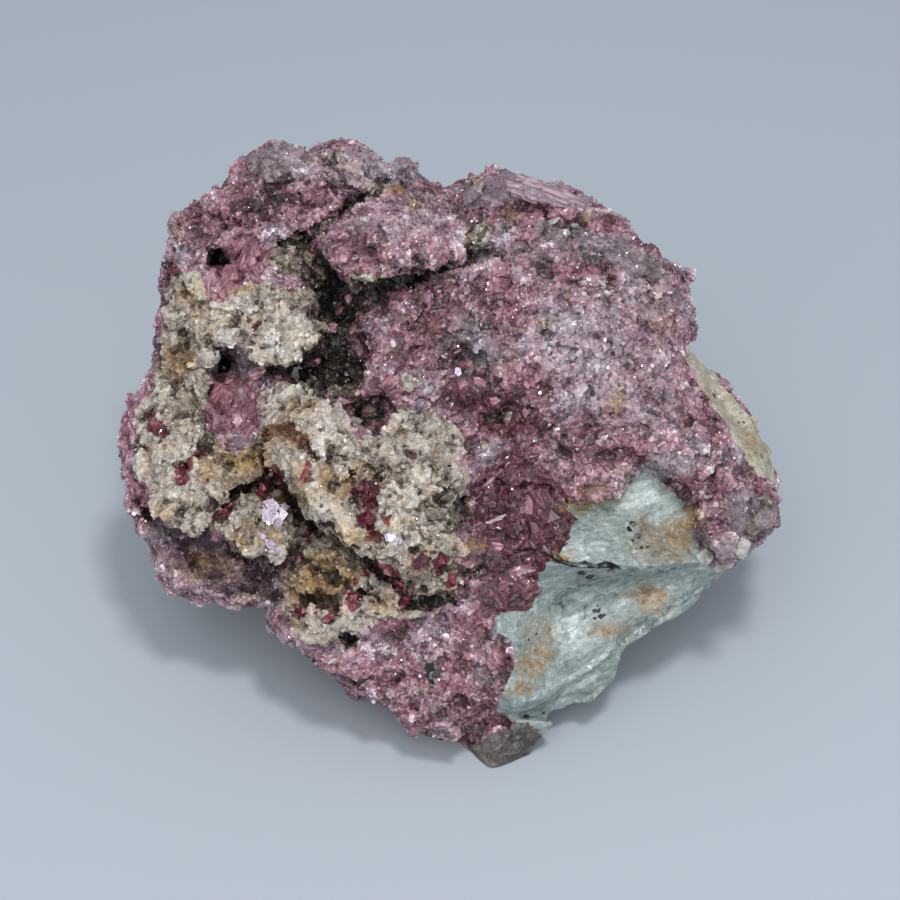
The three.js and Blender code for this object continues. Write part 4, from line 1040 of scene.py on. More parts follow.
def grainTree(name, given, material):
    # strews one kind of grain over a zone of the rock, each with its own size, lean, tone and pick of colour
    tree = bpy.data.node_groups.new(name, "GeometryNodeTree")
    face = tree.interface
    face.new_socket("Geometry", in_out="INPUT", socket_type="NodeSocketGeometry")
    face.new_socket("Zone", in_out="INPUT", socket_type="NodeSocketString")
    face.new_socket("Seed", in_out="INPUT", socket_type="NodeSocketInt")
    for socket in ("Density", "Smallest", "Largest", "Sink", "Tilt", "Jitter"):
        face.new_socket(socket, in_out="INPUT", socket_type="NodeSocketFloat")
    face.new_socket("Geometry", in_out="OUTPUT", socket_type="NodeSocketGeometry")
    chosen = addNode(tree, "NodeGroupInput")
    zone = addNode(tree, "GeometryNodeInputNamedAttribute", {"Name": chosen.outputs["Zone"]},
                   data_type="FLOAT")
    density = addNode(tree, "ShaderNodeMath", {0: zone.outputs[0], 1: chosen.outputs["Density"]},
                      operation="MULTIPLY")
    spots = addNode(tree, "GeometryNodeDistributePointsOnFaces", {"Mesh": chosen.outputs["Geometry"],
                    "Density": density, "Seed": chosen.outputs["Seed"]}, distribute_method="RANDOM")
    where = addNode(tree, "GeometryNodeInputPosition")
    seat = addNode(tree, "GeometryNodeStoreNamedAttribute",
                   {"Geometry": spots.outputs["Points"], "Name": "seat", "Value": where},
                   data_type="FLOAT_VECTOR", domain="POINT")
    marked = seat
    for mark, seed in (("tone", 11), ("pick", 12)):
        drawn = addNode(tree, "FunctionNodeRandomValue", {"Seed": seed}, data_type="FLOAT")
        marked = addNode(tree, "GeometryNodeStoreNamedAttribute",
                         {"Geometry": marked, "Name": mark, "Value": drawn.outputs[1]},
                         data_type="FLOAT", domain="POINT")
    sinkBy = addNode(tree, "ShaderNodeVectorMath",
                     {0: spots.outputs["Normal"], "Scale": chosen.outputs["Sink"]}, operation="SCALE")
    sunk = addNode(tree, "GeometryNodeSetPosition", {"Geometry": marked, "Offset": sinkBy})

    # most grains are small, a few are large, and none is square
    chance = addNode(tree, "FunctionNodeRandomValue", {"Seed": 13}, data_type="FLOAT")
    curved = addNode(tree, "ShaderNodeMath", {0: chance.outputs[1], 1: 2.0}, operation="POWER")
    size = addNode(tree, "ShaderNodeMapRange", {"Value": curved, "To Min": chosen.outputs["Smallest"],
                   "To Max": chosen.outputs["Largest"]})
    squash = addNode(tree, "FunctionNodeRandomValue", {"Seed": 14, 0: (0.6, 0.45, 0.6), 1: (1.2, 0.95, 1.2)},
                     data_type="FLOAT_VECTOR")
    scale = addNode(tree, "ShaderNodeVectorMath", {0: squash.outputs[0], "Scale": size.outputs[0]},
                    operation="SCALE")
    back = addNode(tree, "ShaderNodeMath", {0: chosen.outputs["Tilt"], 1: -1.0}, operation="MULTIPLY")
    least = addNode(tree, "ShaderNodeCombineXYZ", {0: back, 1: back, 2: 0.0})
    most = addNode(tree, "ShaderNodeCombineXYZ",
                   {0: chosen.outputs["Tilt"], 1: chosen.outputs["Tilt"], 2: math.tau})
    turn = addNode(tree, "FunctionNodeRandomValue", {"Seed": 15, 0: least, 1: most}, data_type="FLOAT_VECTOR")
    tilt = addNode(tree, "FunctionNodeEulerToRotation", {0: turn.outputs[0]})
    rotation = addNode(tree, "FunctionNodeRotateRotation", {0: spots.outputs["Rotation"], 1: tilt},
                       rotation_space="LOCAL")
    shape = addNode(tree, "GeometryNodeMeshCone", {"Vertices": given["sides"], "Radius Top": given["top"],
                    "Radius Bottom": 0.5, "Depth": given["thickness"]}, fill_type="NGON")
    middle = addNode(tree, "GeometryNodeTransform",
                     {"Geometry": shape, "Translation": (0, 0, -given["thickness"] / 2)})
    placed = addNode(tree, "GeometryNodeInstanceOnPoints",
                     {"Points": sunk, "Instance": middle, "Rotation": rotation, "Scale": scale})
    solid = addNode(tree, "GeometryNodeRealizeInstances", {0: placed})
    reach = addNode(tree, "ShaderNodeCombineXYZ", {axis: chosen.outputs["Jitter"] for axis in range(3)})
    opposite = addNode(tree, "ShaderNodeVectorMath", {0: reach, "Scale": -1.0}, operation="SCALE")
    shake = addNode(tree, "FunctionNodeRandomValue", {"Seed": 16, 0: opposite, 1: reach},
                    data_type="FLOAT_VECTOR")
    shaken = addNode(tree, "GeometryNodeSetPosition", {"Geometry": solid, "Offset": shake.outputs[0]})
    finished = addNode(tree, "GeometryNodeSetMaterial", {"Geometry": shaken, "Material": material})
    addNode(tree, "NodeGroupOutput", {0: finished})
    return tree


def weighGrains():
    # where grains stand: on rough rock, off the smooth minerals and off the resting break
    mesh = rock.data
    values = {}
    for name in ("front", *mineralOutlines, "dense"):
        flat = np.empty(len(mesh.vertices), dtype=np.float32)
        mesh.attributes[name].data.foreach_get("value", flat)
        values[name] = flat.astype(np.float64)
    smoothness = np.maximum.reduce([values[name] for name in ("slab", "foot", "plate", "lavender", "rose")])
    points = readVectors(mesh, "co")
    clear = 1 - smoothStep(*grainGround["smooth"], smoothness)
    clear *= smoothStep(*grainGround["height"], points[:, 2])
    kept = 1
    for name, share in grainGround["missing"].items():
        kept = kept * (1 - share * values[name])
    clear *= kept
    height = (points - np.array(faceFrame["origin"])) @ np.array(vAxis)
    upper = smoothStep(*grainGround["halves"], height)
    front = values["front"]
    mica = clear * (1 - values["albite"])
    albite = clear * values["albite"]
    zones = {
        "micaFront": mica * front, "micaUpper": mica * front * upper, "micaLower": mica * front * (1 - upper),
        "micaBack": mica * (1 - front), "albiteFront": albite * front, "albiteBack": albite * (1 - front),
    }
    for zone, share in zones.items():
        storeFloat(mesh, zone, share)


def buildGrains(name, given, material):
    grains = linkObject(name, rock.data.copy())
    grains.data.materials.clear()
    scatter = grains.modifiers.new("scatter", "NODES")
    scatter.node_group = grainTree(name, given, material)
    smallest, largest = given["size"]
    setInputs(scatter, {
        "Zone": given["zone"], "Seed": given["seed"], "Density": given["density"] / mm ** 2,
        "Smallest": smallest * mm, "Largest": largest * mm, "Tilt": math.radians(given["tilt"]),
        "Sink": -0.2 * smallest * mm, "Jitter": 0.3 * smallest * mm,
    })
    bakeModifiers(grains)
    triangles = sum(len(p.vertices) - 2 for p in grains.data.polygons)
    print(name + ":", triangles, "triangles", "(too many)" if triangles > grainLimit else "")
    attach(grains, "root")
    return grains


weighGrains()
looseMaterial = rockMaterial("loose_mica_and_albite_grains", loose=True)
for grainName, grainSettings in grainSets.items():
    buildGrains(grainName, grainSettings, looseMaterial)
print("grains scattered")


# crystals set one by one: place in the front view in pixels, length and width in mm, turn on the face
# and rise out of it in degrees; depth is a share of the width, show a share of the depth, bevel in mm
crystalSets = {
    "red_tourmaline_crystals": {
        "form": "lump", "depth": 0.85, "show": 0.26, "bevel": 0.03, "rows": [
            (154, 423, 2.4, 1.5, -60, 8), (150, 430, 1.3, 1.1, 20, 8), (161, 433, 1.5, 1.1, -50, 10),
            (180, 480, 1.7, 1.1, 88, 5), (181, 468, 1.3, 1.0, 60, 10), (196, 455, 1.5, 0.9, 24, 5),
            (223, 512, 1.7, 1.0, 32, 15), (214, 518, 1.0, 0.8, 40, 20), (262, 491, 1.7, 1.3, 80, 20),
            (269, 475, 1.3, 1.1, 20, 20), (280, 483, 1.4, 1.1, 60, 20), (292, 429, 1.5, 0.9, -40, 15),
            (303, 441, 1.6, 0.9, -45, 10), (265, 434, 1.3, 0.8, 20, 20), (304, 476, 2.0, 1.0, 58, 10),
            (364, 519, 2.6, 2.2, 20, 20), (374, 534, 1.9, 1.5, 70, 20), (370, 498, 1.8, 1.2, 70, 20),
            (360, 488, 1.3, 1.1, 10, 20), (386, 569, 1.8, 1.2, -60, 20), (397, 582, 1.7, 1.1, -40, 20),
            (419, 562, 2.2, 1.7, 30, 20), (441, 563, 1.7, 1.3, 60, 25), (450, 581, 1.9, 1.5, 60, 30),
            (404, 601, 1.4, 1.1, 20, 25), (328, 618, 1.6, 1.1, 30, 20), (302, 611, 1.9, 1.0, 5, 15),
            (352, 600, 1.5, 1.1, 60, 20), (308, 536, 1.2, 0.9, 40, 30), (297, 560, 1.3, 1.0, 40, 20),
            (258, 325, 1.7, 0.9, 20, 10), (338, 546, 0.9, 0.7, -45, 20), (345, 560, 0.9, 0.7, -30, 20),
            (387, 520, 1.0, 0.8, 70, 20), (409, 454, 0.9, 0.7, 20, 20), (365, 574, 1.1, 0.8, 10, 20),
            (380, 592, 1.0, 0.8, 50, 20), (206, 480, 0.8, 0.7, 0, 20), (172, 269, 1.3, 0.9, 30, 10),
            (354, 582, 1.2, 0.9, 40, 20), (362, 590, 1.0, 0.8, -20, 20), (348, 594, 1.2, 0.9, 70, 20),
            (370, 602, 1.1, 0.8, 10, 20), (342, 606, 1.0, 0.8, 30, 20), (334, 612, 1.3, 1.0, 50, 20),
            (316, 614, 1.1, 0.9, -30, 20), (392, 574, 1.2, 0.9, 60, 20), (402, 590, 1.0, 0.8, 20, 20),
            (294, 606, 1.1, 0.8, 0, 20), (358, 508, 1.2, 0.9, 40, 20), (378, 512, 1.1, 0.8, -40, 20),
            (366, 484, 1.0, 0.8, 60, 20), (284, 472, 1.0, 0.8, 30, 20), (190, 448, 1.0, 0.7, 40, 10),
            (228, 506, 1.0, 0.8, 50, 20), (276, 496, 1.0, 0.8, 70, 20), (432, 572, 1.1, 0.9, 40, 20)]},
    "rose_crystals": {
        "form": "lump", "depth": 0.8, "show": 0.22, "bevel": 0.04, "rows": [
            (213, 284, 4.4, 2.4, 86, 5), (230, 281, 4.6, 3.0, 82, 5), (246, 264, 4.2, 3.2, 66, 6),
            (259, 252, 3.2, 2.6, 50, 6), (240, 248, 2.8, 2.2, 70, 6), (224, 294, 2.2, 2.6, 84, 4),
            (222, 397, 4.6, 4.0, 60, 8), (249, 402, 4.4, 2.8, 80, 8), (250, 372, 3.8, 3.0, 8, 10),
            (236, 422, 2.6, 2.0, 60, 10), (230, 382, 2.4, 1.8, 30, 10), (258, 388, 2.2, 1.4, 70, 10),
            (338, 313, 3.0, 2.4, 30, 15), (322, 346, 2.8, 2.2, 70, 15), (330, 328, 2.0, 1.6, 0, 15),
            (466, 364, 2.8, 2.2, 30, 15), (480, 380, 2.6, 1.8, -40, 15), (456, 352, 2.0, 1.6, 10, 15),
            (507, 422, 3.0, 2.2, 10, 15), (528, 414, 2.2, 1.8, 60, 15), (388, 384, 2.6, 1.8, 30, 12),
            (462, 388, 2.4, 1.8, 70, 15), (492, 400, 2.2, 1.6, -20, 15), (366, 318, 2.0, 1.5, 20, 15),
            (348, 300, 1.8, 1.4, 60, 15), (312, 362, 2.0, 1.4, 10, 15)]},
    "wine_crystals": {
        "form": "lump", "depth": 0.6, "show": 0.14, "bevel": 0.04, "rows": [
            (522, 472, 5.6, 2.0, 62, 6), (506, 462, 4.6, 1.6, 50, 5), (541, 500, 5.0, 3.4, -62, 5),
            (553, 522, 4.6, 2.8, -62, 5), (534, 532, 5.0, 3.4, -72, 5), (562, 504, 3.4, 2.2, -52, 5),
            (512, 550, 4.6, 2.6, -16, 5), (500, 522, 4.4, 2.4, 8, 5), (490, 504, 3.6, 2.0, 20, 5),
            (492, 546, 3.6, 2.4, -10, 5), (520, 574, 4.2, 2.4, 18, 5), (498, 588, 4.0, 2.2, 26, 5),
            (480, 478, 3.4, 1.6, 48, 5), (548, 552, 3.6, 2.2, -42, 5), (526, 504, 4.4, 2.8, -76, 5),
            (546, 476, 3.2, 2.0, -10, 6), (532, 452, 2.8, 1.9, 20, 6), (508, 602, 3.8, 2.0, 30, 5),
            (486, 616, 3.2, 1.8, 34, 6), (534, 590, 3.2, 1.8, 40, 6), (476, 528, 2.8, 1.8, 30, 5)]},
    "wine_blades": {
        "form": "lump", "depth": 0.9, "show": 0.24, "bevel": 0.02, "rows": [
            (482, 492, 3.0, 0.6, 48, 2), (488, 484, 3.2, 0.7, 44, 2), (495, 478, 3.4, 0.7, 46, 2),
            (502, 470, 3.0, 0.6, 44, 2), (509, 463, 2.6, 0.6, 48, 2), (476, 499, 2.2, 0.5, 42, 2),
            (502, 516, 1.6, 0.4, 6, 3), (514, 582, 2.0, 0.5, 22, 3), (556, 530, 1.4, 0.4, -62, 3),
            (532, 544, 1.6, 0.4, -65, 3), (500, 528, 1.6, 0.4, 0, 3), (504, 592, 1.8, 0.4, 24, 3)]},
    "feldspar_chips": {
        "form": "lump", "depth": 0.8, "show": 0.42, "bevel": 0.02, "rows": [
            (716, 579, 2.4, 1.1, 28, 2), (706, 586, 2.0, 1.0, 34, 2), (696, 592, 2.4, 1.1, 26, 2),
            (686, 598, 2.0, 1.0, 40, 2), (676, 604, 2.4, 1.1, 26, 2), (666, 610, 2.0, 1.0, 34, 2),
            (655, 616, 2.6, 1.2, 30, 2), (645, 623, 2.0, 1.1, 40, 2), (636, 632, 2.4, 1.3, 50, 2),
            (570, 711, 2.4, 1.2, 30, 4), (584, 707, 2.4, 1.1, 30, 4), (600, 699, 2.6, 1.2, 34, 4),
            (612, 689, 2.2, 1.1, 48, 4)]},
    "quartz_crystals": {
        "form": "lump", "depth": 0.8, "show": 0.12, "bevel": 0.05, "rows": [
            (295, 379, 2.8, 1.1, 88, 25), (562, 234, 1.6, 1.5, 10, 30), (550, 223, 3.0, 1.0, 24, 8),
            (572, 226, 2.6, 1.0, -8, 8), (441, 515, 1.8, 1.5, 40, 30), (425, 525, 1.5, 1.3, 20, 25),
            (394, 541, 2.4, 1.4, 8, 20), (712, 556, 4.6, 3.0, -14, 6), (736, 551, 3.8, 2.8, 26, 10),
            (724, 565, 3.8, 2.0, 18, 6), (702, 560, 3.0, 2.2, 40, 8), (240, 392, 1.2, 1.0, 40, 20),
            (352, 420, 3.6, 1.2, -20, 10), (478, 232, 2.4, 1.6, 20, 15), (346, 372, 1.6, 1.3, 0, 20),
            (408, 380, 1.4, 1.1, 60, 20), (282, 386, 1.3, 0.8, 100, 40), (308, 384, 1.2, 0.8, 80, 40),
            (214, 362, 2.6, 1.4, 70, 20), (484, 190, 3.0, 2.2, 20, 6)]},
    "smoky_quartz_crystals": {
        "form": "lump", "depth": 0.7, "show": 0.3, "bevel": 0.05, "rows": [
            (752, 530, 2.6, 2.0, 20, 6), (768, 504, 2.0, 1.4, 40, 8), (432, 514, 3.0, 2.0, -20, 4),
            (456, 520, 2.6, 2.0, 30, 4), (444, 500, 2.2, 1.6, 10, 4), (482, 236, 2.4, 1.8, 60, 10),
            (490, 228, 1.8, 1.4, -30, 10), (487, 449, 2.8, 1.6, -70, 12), (354, 424, 3.4, 1.1, -24, 8),
            (510, 416, 2.6, 2.0, 10, 10)]},
    # dark lumps along the slab's cracks: dirt, and painted shade of the crack
    "dirt_and_painted_shade_in_cracks": {
        "form": "lump", "depth": 1.2, "show": 0.16, "bevel": 0.01, "rows": [
            (549, 557, 2.2, 0.24, -32, 0), (558, 561, 2.2, 0.26, -26, 0), (567, 564.5, 2.4, 0.3, -16, 0),
            (577, 566.5, 2.6, 0.34, -8, 0), (587, 567.5, 2.6, 0.36, -2, 0), (597, 567.5, 2.6, 0.36, 4, 0),
            (606, 567, 2.4, 0.26, 0, 0), (614, 568, 1.8, 0.16, -12, 0), (660, 570.5, 2.0, 0.12, 10, 0),
            (672, 568.5, 2.0, 0.1, 8, 0), (566, 588, 1.6, 0.1, -10, 0), (578, 585.5, 1.4, 0.1, 12, 0)]},
    "lavender_blades": {
        "form": "prism", "sides": 6, "depth": 0.8, "taper": 0.85, "slant": 0.5, "show": 0.24, "bevel": 0.1,
        "rows": [
            (552, 193, 9.8, 2.3, -22, 2), (563, 202, 6.4, 1.5, -24, 2), (534, 185, 5.6, 2.2, -18, 3),
            (518, 188, 3.4, 1.8, -12, 4), (524, 196, 4.0, 1.4, -20, 2)]},
    "black_tourmaline_crystals": {
        "form": "lump", "depth": 0.9, "show": 0.36, "bevel": 0.02, "rows": [
            (431, 667, 2.2, 1.6, 80, 24), (428, 678, 2.4, 1.8, 20, 24), (436, 675, 1.7, 1.3, 50, 30),
            (440, 744, 2.6, 1.5, 20, 20), (450, 741, 2.2, 1.4, -10, 20), (362, 681, 2.2, 1.1, 15, 20),
            (370, 678, 1.2, 0.8, 40, 30), (630, 525, 1.5, 1.0, 30, 15), (628, 529, 1.2, 0.9, -40, 15),
            (634, 524, 0.8, 0.7, 60, 15), (636, 537, 1.4, 0.7, 30, 10), (632, 541, 0.8, 0.4, 20, 10),
            (641, 548, 0.9, 0.5, 10, 10), (647, 548, 0.7, 0.4, 40, 10), (636, 549, 0.4, 0.3, 10, 10),
            (580, 572, 1.0, 0.9, 10, 15), (589, 576, 1.4, 1.1, 50, 15), (584, 574, 0.6, 0.5, 20, 15),
            (594, 611, 1.3, 0.5, 10, 15), (599, 611, 0.9, 0.4, 70, 15), (600, 617, 1.0, 0.6, 30, 15),
            (594, 618, 0.6, 0.4, -30, 15), (604, 615, 0.5, 0.4, 10, 15), (597, 606, 0.5, 0.3, 50, 15),
            (536, 634, 0.6, 0.3, 20, 10), (528, 640, 0.5, 0.3, 30, 10), (512, 600, 1.0, 0.8, 30, 20),
            (520, 607, 0.7, 0.6, 70, 20), (549, 629, 0.3, 0.3, 10, 10), (724, 521, 0.9, 0.5, 20, 20),
            (526, 718, 0.9, 0.8, 40, 20), (543, 713, 0.5, 0.4, 10, 20), (683, 281, 1.3, 0.9, 80, 20),
            (449, 466, 0.9, 0.7, 20, 20)]},
    "lilac_mica_books": {
        "form": "prism", "sides": 5, "depth": 0.85, "taper": 0.97, "slant": 0.15, "show": 0.1, "bevel": 0.02,
        "rows": [
            (270, 508, 0.5, 2.5, 60, 72), (279, 515, 0.45, 2.2, 58, 74), (267, 519, 0.45, 2.3, 62, 71),
            (276, 524, 0.4, 1.7, 57, 73), (284, 508, 0.4, 1.2, 60, 72), (262, 511, 0.4, 1.3, 63, 72),
            (268, 545, 0.4, 1.5, 50, 54), (276, 551, 0.3, 1.0, 44, 60), (262, 538, 0.3, 1.0, 56, 58),
            (389, 539, 0.4, 1.7, 62, 72), (397, 542, 0.3, 1.3, 64, 70), (236, 454, 0.3, 0.8, 40, 70)]},
}
crystalSeed = 41
lumpHull = {"points": 13, "reach": 0.58}  # corners of a broken lump, and how far out they lie
glints = {
    "count": 170, "seed": 17,
    "size": (0.16, 0.42), "thickness": 0.25, "show": 0.05,  # mm
    "aim": 4,                                               # degrees that they miss the light by
    "facing": 0.3,                                          # least cosine of the rock under them to the eye
    "right": (130, 760), "down": (150, 740),                # front-view pixels
    "set": [(458, 372, 1.5), (481, 342, 0.9), (605, 340, 0.7), (608, 368, 0.6), (540, 393, 0.7),
            (345, 441, 0.6), (488, 284, 0.5), (637, 267, 0.6), (328, 401, 0.7), (392, 539, 1.3),
            (399, 545, 0.9), (441, 513, 0.8), (272, 508, 1.3), (281, 521, 1.0), (268, 524, 0.9),
            (276, 516, 1.1), (264, 514, 0.8), (270, 546, 1.0), (420, 676, 0.6), (422, 528, 0.5),
            (469, 707, 0.5), (560, 198, 0.6), (352, 633, 0.6), (439, 680, 0.5)],
}

rockTree = BVHTree.FromPolygons([v.co for v in rock.data.vertices], [p.vertices for p in rock.data.polygons])


def sightThrough(x, y):
    # the way from the eye through a point of the front view
    return uAxis * ((x - halfView) / focal) + vAxis * ((halfView - y) / focal) - wAxis


def pointOnRock(x, y):
    # where the line of sight through a front-view pixel meets the rock, or passes nearest to it
    sight = sightThrough(x, y)
    met = rockTree.ray_cast(eye, sight.normalized())[0]
    return met or rockTree.find_nearest(eye + sight * faceFrame["distance"])[0]


def addPrism(shape, middle, axes, sizes, sides, taper, slant, chance):
    # a prism along the first axis, with uneven sides and slanting ends
    along, across, outward = axes
    length, width, depth = sizes
    lean = chance.uniform(-slant, slant, 4)
    corners = chance.uniform(0.82, 1.0, sides)
    rings = []
    for end, scale in ((-0.5, 1.0), (0.5, taper)):
        ring = []
        for side in range(sides):
            angle = math.tau * (side + 0.5) / sides
            reach = 0.5 * scale * corners[side] / math.cos(math.pi / sides)
            dx, dy = width * reach * math.cos(angle), depth * reach * math.sin(angle)
            tip = end * length + (lean[0] * dx + lean[1] * dy if end > 0 else lean[2] * dx + lean[3] * dy)
            ring.append(shape.verts.new(middle + along * tip + across * dx + outward * dy))
        rings.append(ring)
    shape.faces.new(rings[0][::-1])
    shape.faces.new(rings[1])
    for a in range(sides):
        b = (a + 1) % sides
        shape.faces.new((rings[0][a], rings[0][b], rings[1][b], rings[1][a]))
    return rings[0] + rings[1]


def addLump(shape, middle, axes, sizes, chance):
    # a broken lump: the hull of a few points on an ellipsoid
    corners = []
    for spot in chance.normal(size=(lumpHull["points"], 3)):
        spot /= np.linalg.norm(spot)
        parts = [axis * (lumpHull["reach"] * size * share) for axis, size, share in zip(axes, sizes, spot)]
        offset = sum(parts, Vector())
        corners.append(shape.verts.new(middle + offset))
    made = bmesh.ops.convex_hull(shape, input=corners)
    spare = made["geom_interior"] + made["geom_unused"]
    spare = [part for part in spare if isinstance(part, bmesh.types.BMVert)]
    bmesh.ops.delete(shape, geom=spare, context="VERTS")
    return [corner for corner in corners if corner.is_valid]


def addCrystal(shape, row, given, chance):
    # one crystal of a set, sunk in the rock except for the share of its depth that shows
    x, y, length, width, turn, rise = row
    turn, rise = math.radians(turn), math.radians(rise)
    along = (uAxis * math.cos(turn) + vAxis * math.sin(turn)) * math.cos(rise) + wAxis * math.sin(rise)
    across = along.cross(wAxis).normalized()
    outward = across.cross(along)
    axes = (along, across, outward)
    length, width = length * mm, width * mm
    depth = width * given["depth"]
    sizes = (length, width, depth)
    middle = pointOnRock(x, y) + outward * (depth * (given["show"] - 0.5) * math.cos(rise))
    middle = middle + along * (length * 0.3 * math.sin(rise))
    if given["form"] == "lump":
        corners = addLump(shape, middle, axes, sizes, chance)
    else:
        corners = addPrism(shape, middle, axes, sizes, given["sides"], given["taper"], given["slant"], chance)
    toneLayer = shape.verts.layers.float["tone"]
    grownLayer = shape.verts.layers.float_vector["grown"]
    tone = chance.uniform()
    for corner in corners:
        offset = corner.co - middle
        corner[toneLayer] = tone
        corner[grownLayer] = 7 * middle + Vector([offset.dot(axis) for axis in axes])
        corner.co.z = max(corner.co.z, 0.1 * mm)


def finishCrystals(name, shape, material, bevel):
    bmesh.ops.bevel(shape, geom=shape.edges[:], offset=bevel, segments=1, affect="EDGES", clamp_overlap=True)
    bmesh.ops.recalc_face_normals(shape, faces=shape.faces[:])
    mesh = bpy.data.meshes.new(name)
    shape.to_mesh(mesh)
    shape.free()
    piece = linkObject(name, mesh)
    mesh.materials.append(material)
    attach(piece, "root")
    print(name + ":", sum(len(p.vertices) - 2 for p in mesh.polygons), "triangles")


def newShape():
    shape = bmesh.new()
    shape.verts.layers.float.new("tone")
    shape.verts.layers.float_vector.new("grown")  # place along, across and out of its own crystal
    return shape


def buildGlints(material):
    # small flat cleavages that happen to send the light to the eye
    chance = np.random.default_rng(glints["seed"])
    shape = newShape()
    toneLayer = shape.verts.layers.float["tone"]
    grownLayer = shape.verts.layers.float_vector["grown"]
    spots = list(glints["set"])
    while len(spots) < glints["count"]:
        x, y = chance.uniform(*glints["right"]), chance.uniform(*glints["down"])
        met, normal = rockTree.ray_cast(eye, sightThrough(x, y).normalized())[:2]
        if not met or normal.dot(wAxis) < glints["facing"]:
            continue
        if insideBy(np.array([x]), np.array([y]), mineralOutlines["slab"][0])[0] < 0:
            spots.append((x, y, chance.uniform(*glints["size"])))
    for x, y, size in spots:
        seat = pointOnRock(x, y)
        towards = (eye - seat).normalized() + (Vector(lights["spark"]["at"]) - seat).normalized()
        tilt = Vector(chance.normal(size=3)) * math.radians(glints["aim"])
        along = (towards.normalized() + tilt).normalized()
        across = along.cross(uAxis).normalized()
        axes = (along, across, across.cross(along))
        sizes = (glints["thickness"] * mm, size * mm, size * mm * chance.uniform(0.6, 1.0))
        for vertex in addPrism(shape, seat + along * glints["show"] * mm, axes, sizes, 5, 0.92, 0.0, chance):
            vertex[toneLayer] = 1.0
            vertex[grownLayer] = vertex.co
    finishCrystals("glinting_mica_cleavages", shape, material, 0.01 * mm)


# Single crystals, as they grew or cleaved: glassy tourmaline and quartz, pearly mica. Light enters the
# quartz a little way, the others only at their edges. Growth lines and healed cracks show inside them.
crystalFinishes = {
    "red_tourmaline_crystals": {
        "name": "glassy_red_tourmaline",
        "ior": 1.63, "roughness": 0.16, "clear": 0.0, "grain": 0.5, "stretch": 4,
        "stops": [(0.0, "#1d060a"), (0.35, "#47121d"), (0.65, "#792a39"), (0.9, "#a85262"),
                  (1.0, "#d89ba4")]},
    "rose_crystals": {
        "name": "cleaved_rose_lepidolite",
        "ior": 1.55, "roughness": 0.3, "clear": 0.0, "grain": 0.6, "stretch": 5,
        "stops": [(0.0, "#35191f"), (0.28, "#683f48"), (0.52, "#91616b"), (0.78, "#b68c95"),
                  (1.0, "#e8d4d9")]},
    "wine_crystals": {
        "name": "wine_red_lepidolite",
        "ior": 1.55, "roughness": 0.3, "clear": 0.0, "grain": 0.5, "stretch": 5,
        "stops": [(0.0, "#180a0f"), (0.3, "#3c1d28"), (0.55, "#643444"), (0.8, "#8e5c6c"), (1.0, "#d0b0b9")]},
    "wine_blades": {
        "name": "pale_lepidolite_blades",
        "ior": 1.55, "roughness": 0.26, "clear": 0.0, "grain": 0.6, "stretch": 4,
        "stops": [(0.0, "#3e2029"), (0.3, "#6f4854"), (0.55, "#966f7b"), (0.8, "#bda7ae"), (1.0, "#e8e0e3")]},
    "quartz_crystals": {
        "name": "cloudy_quartz",
        "ior": 1.544, "roughness": 0.2, "clear": 0.45, "grain": 1.0, "stretch": 1.5,
        "stops": [(0.0, "#8f8885"), (0.4, "#aaa4a0"), (0.7, "#c6c1bc"), (1.0, "#eeecea")]},
    "smoky_quartz_crystals": {
        "name": "brownish_quartz",
        "ior": 1.544, "roughness": 0.3, "clear": 0.1, "grain": 0.8, "stretch": 1.5,
        "stops": [(0.0, "#2c241d"), (0.4, "#5d5145"), (0.7, "#8a7d70"), (1.0, "#cfc6bb")]},
    "lavender_blades": {
        "name": "pale_lavender_lepidolite",
        "ior": 1.55, "roughness": 0.3, "clear": 0.15, "grain": 0.65, "stretch": 4,
        "stops": [(0.0, "#573c46"), (0.3, "#7b5f6a"), (0.6, "#9c848e"), (0.85, "#baa8b0"), (1.0, "#e2d9dd")]},
    "black_tourmaline_crystals": {
        "name": "black_tourmaline",
        "ior": 1.64, "roughness": 0.4, "clear": 0.0, "grain": 0.5, "stretch": 3,
        "stops": [(0.0, "#050506"), (0.5, "#0f1110"), (0.85, "#1d211f"), (1.0, "#39403c")]},
    "feldspar_chips": {
        "name": "green_white_feldspar",
        "ior": 1.53, "roughness": 0.45, "clear": 0.0, "grain": 0.7, "stretch": 3,
        "stops": [(0.0, "#4c5450"), (0.26, "#757e7a"), (0.46, "#8f9793"), (0.7, "#a7afab"),
                  (1.0, "#e0e4e1")]},
    # dark lumps in the cracks, coloured as dirt and as the crack's painted shade
    "dirt_and_painted_shade_in_cracks": {
        "name": "dark_dirt_and_painted_shade",
        "ior": 1.5, "roughness": 0.9, "clear": 0.0, "grain": 0.4, "stretch": 2,
        "stops": [(0.0, "#0a0a08"), (0.5, "#191812"), (0.85, "#2e2b21"), (1.0, "#4a4536")]},
    "lilac_mica_books": {
        "name": "pearly_lilac_mica",
        "ior": 1.58, "roughness": 0.22, "clear": 0.0, "grain": 0.5, "stretch": 1,
        "stops": [(0.0, "#6b566b"), (0.4, "#9b869d"), (0.75, "#c6b6c9"), (1.0, "#f1eaf2")]},
}


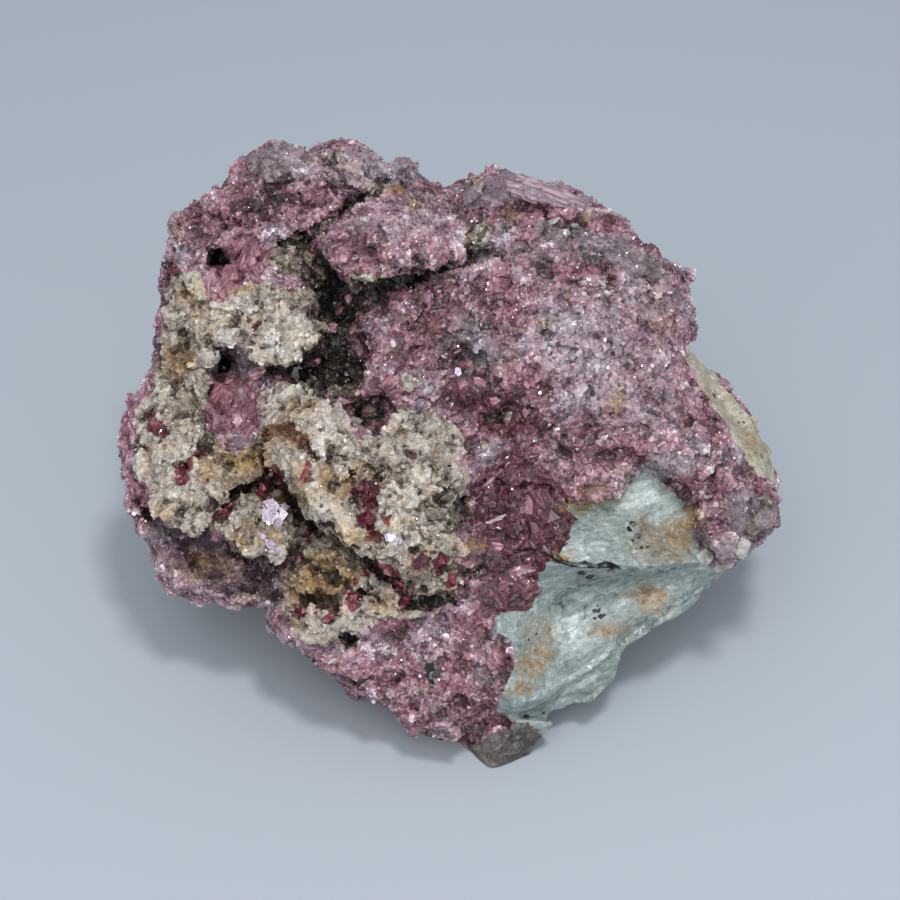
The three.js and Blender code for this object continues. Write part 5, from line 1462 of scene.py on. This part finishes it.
def crystalMaterial(given):
    material = bpy.data.materials.new(given["name"])
    material.use_nodes = True
    tree = material.node_tree
    tree.nodes.clear()
    grown = addNode(tree, "ShaderNodeAttribute", attribute_name="grown").outputs["Vector"]
    drawn = addNode(tree, "ShaderNodeVectorMath", {0: grown, 1: (1 / given["stretch"], 1, 1)},
                    operation="MULTIPLY")
    tone = addNode(tree, "ShaderNodeAttribute", attribute_name="tone").outputs["Fac"]
    zone = addNode(tree, "ShaderNodeTexNoise", {"Vector": drawn, "Scale": 1 / (given["grain"] * mm),
                   "Detail": 5.0, "Roughness": 0.65, "Distortion": 0.6})
    value = addNode(tree, "ShaderNodeMath", {0: tone, 1: 0.5, 2: -0.88}, operation="MULTIPLY_ADD")
    value = addNode(tree, "ShaderNodeMath", {0: zone, 1: 2.2, 2: value}, operation="MULTIPLY_ADD")
    colour = addNode(tree, "ShaderNodeValToRGB", {0: value}, stops=given["stops"])
    bump = addNode(tree, "ShaderNodeBump", {"Height": zone, "Strength": 0.35, "Distance": 0.06 * mm})
    shader = addNode(tree, "ShaderNodeBsdfPrincipled", {"Base Color": colour, "Roughness": given["roughness"],
                     "IOR": given["ior"], "Transmission Weight": given["clear"], "Normal": bump})
    addNode(tree, "ShaderNodeOutputMaterial", {"Surface": shader})
    return material


for crystalName, crystalSettings in crystalSets.items():
    crystalChance = np.random.default_rng(crystalSeed)
    crystalShape = newShape()
    for crystalRow in crystalSettings["rows"]:
        addCrystal(crystalShape, crystalRow, crystalSettings, crystalChance)
    crystalFinish = crystalMaterial(crystalFinishes[crystalName])
    finishCrystals(crystalName, crystalShape, crystalFinish, crystalSettings["bevel"] * mm)
buildGlints(crystalMaterial(crystalFinishes["lilac_mica_books"]))
print("crystals set")


# floor: pale bluish grey, matt
floorSettings = {"size": 3.0, "colour": "#a5adb5", "roughness": 0.8}


def buildFloor():
    mesh = bpy.data.meshes.new("floor")
    half = floorSettings["size"] / 2
    corners = [(-half, -half, 0), (half, -half, 0), (half, half, 0), (-half, half, 0)]
    mesh.from_pydata(corners, [], [(0, 1, 2, 3)])
    floor = linkObject("floor", mesh)
    material = bpy.data.materials.new("pale_floor")
    material.use_nodes = True
    shader = material.node_tree.nodes["Principled BSDF"]
    shader.inputs["Base Color"].default_value = toLinear(floorSettings["colour"])
    shader.inputs["Roughness"].default_value = floorSettings["roughness"]
    mesh.materials.append(material)


skyColour = {"colour": "#dfe6f0", "strength": 0.7}


def buildLights():
    for name, given in lights.items():
        lamp = bpy.data.lights.new(name, "AREA")
        lamp.size = given["size"]
        lamp.energy = given["power"]
        lamp.color = toLinear(given["colour"])[:3]
        made = linkObject(name, lamp)
        turned = (Vector((0, 0, given["aim"])) - Vector(given["at"])).to_track_quat("-Z", "Y").to_matrix()
        made.matrix_world = Matrix.Translation(given["at"]) @ turned.to_4x4()
    world = bpy.data.worlds.new("studio")
    world.use_nodes = True
    sky = world.node_tree.nodes["Background"]
    sky.inputs["Color"].default_value = toLinear(skyColour["colour"])
    sky.inputs["Strength"].default_value = skyColour["strength"]
    bpy.context.scene.world = world
    bpy.context.scene.view_settings.view_transform = "Standard"


buildFloor()
buildLights()
print("floor and lights placed")
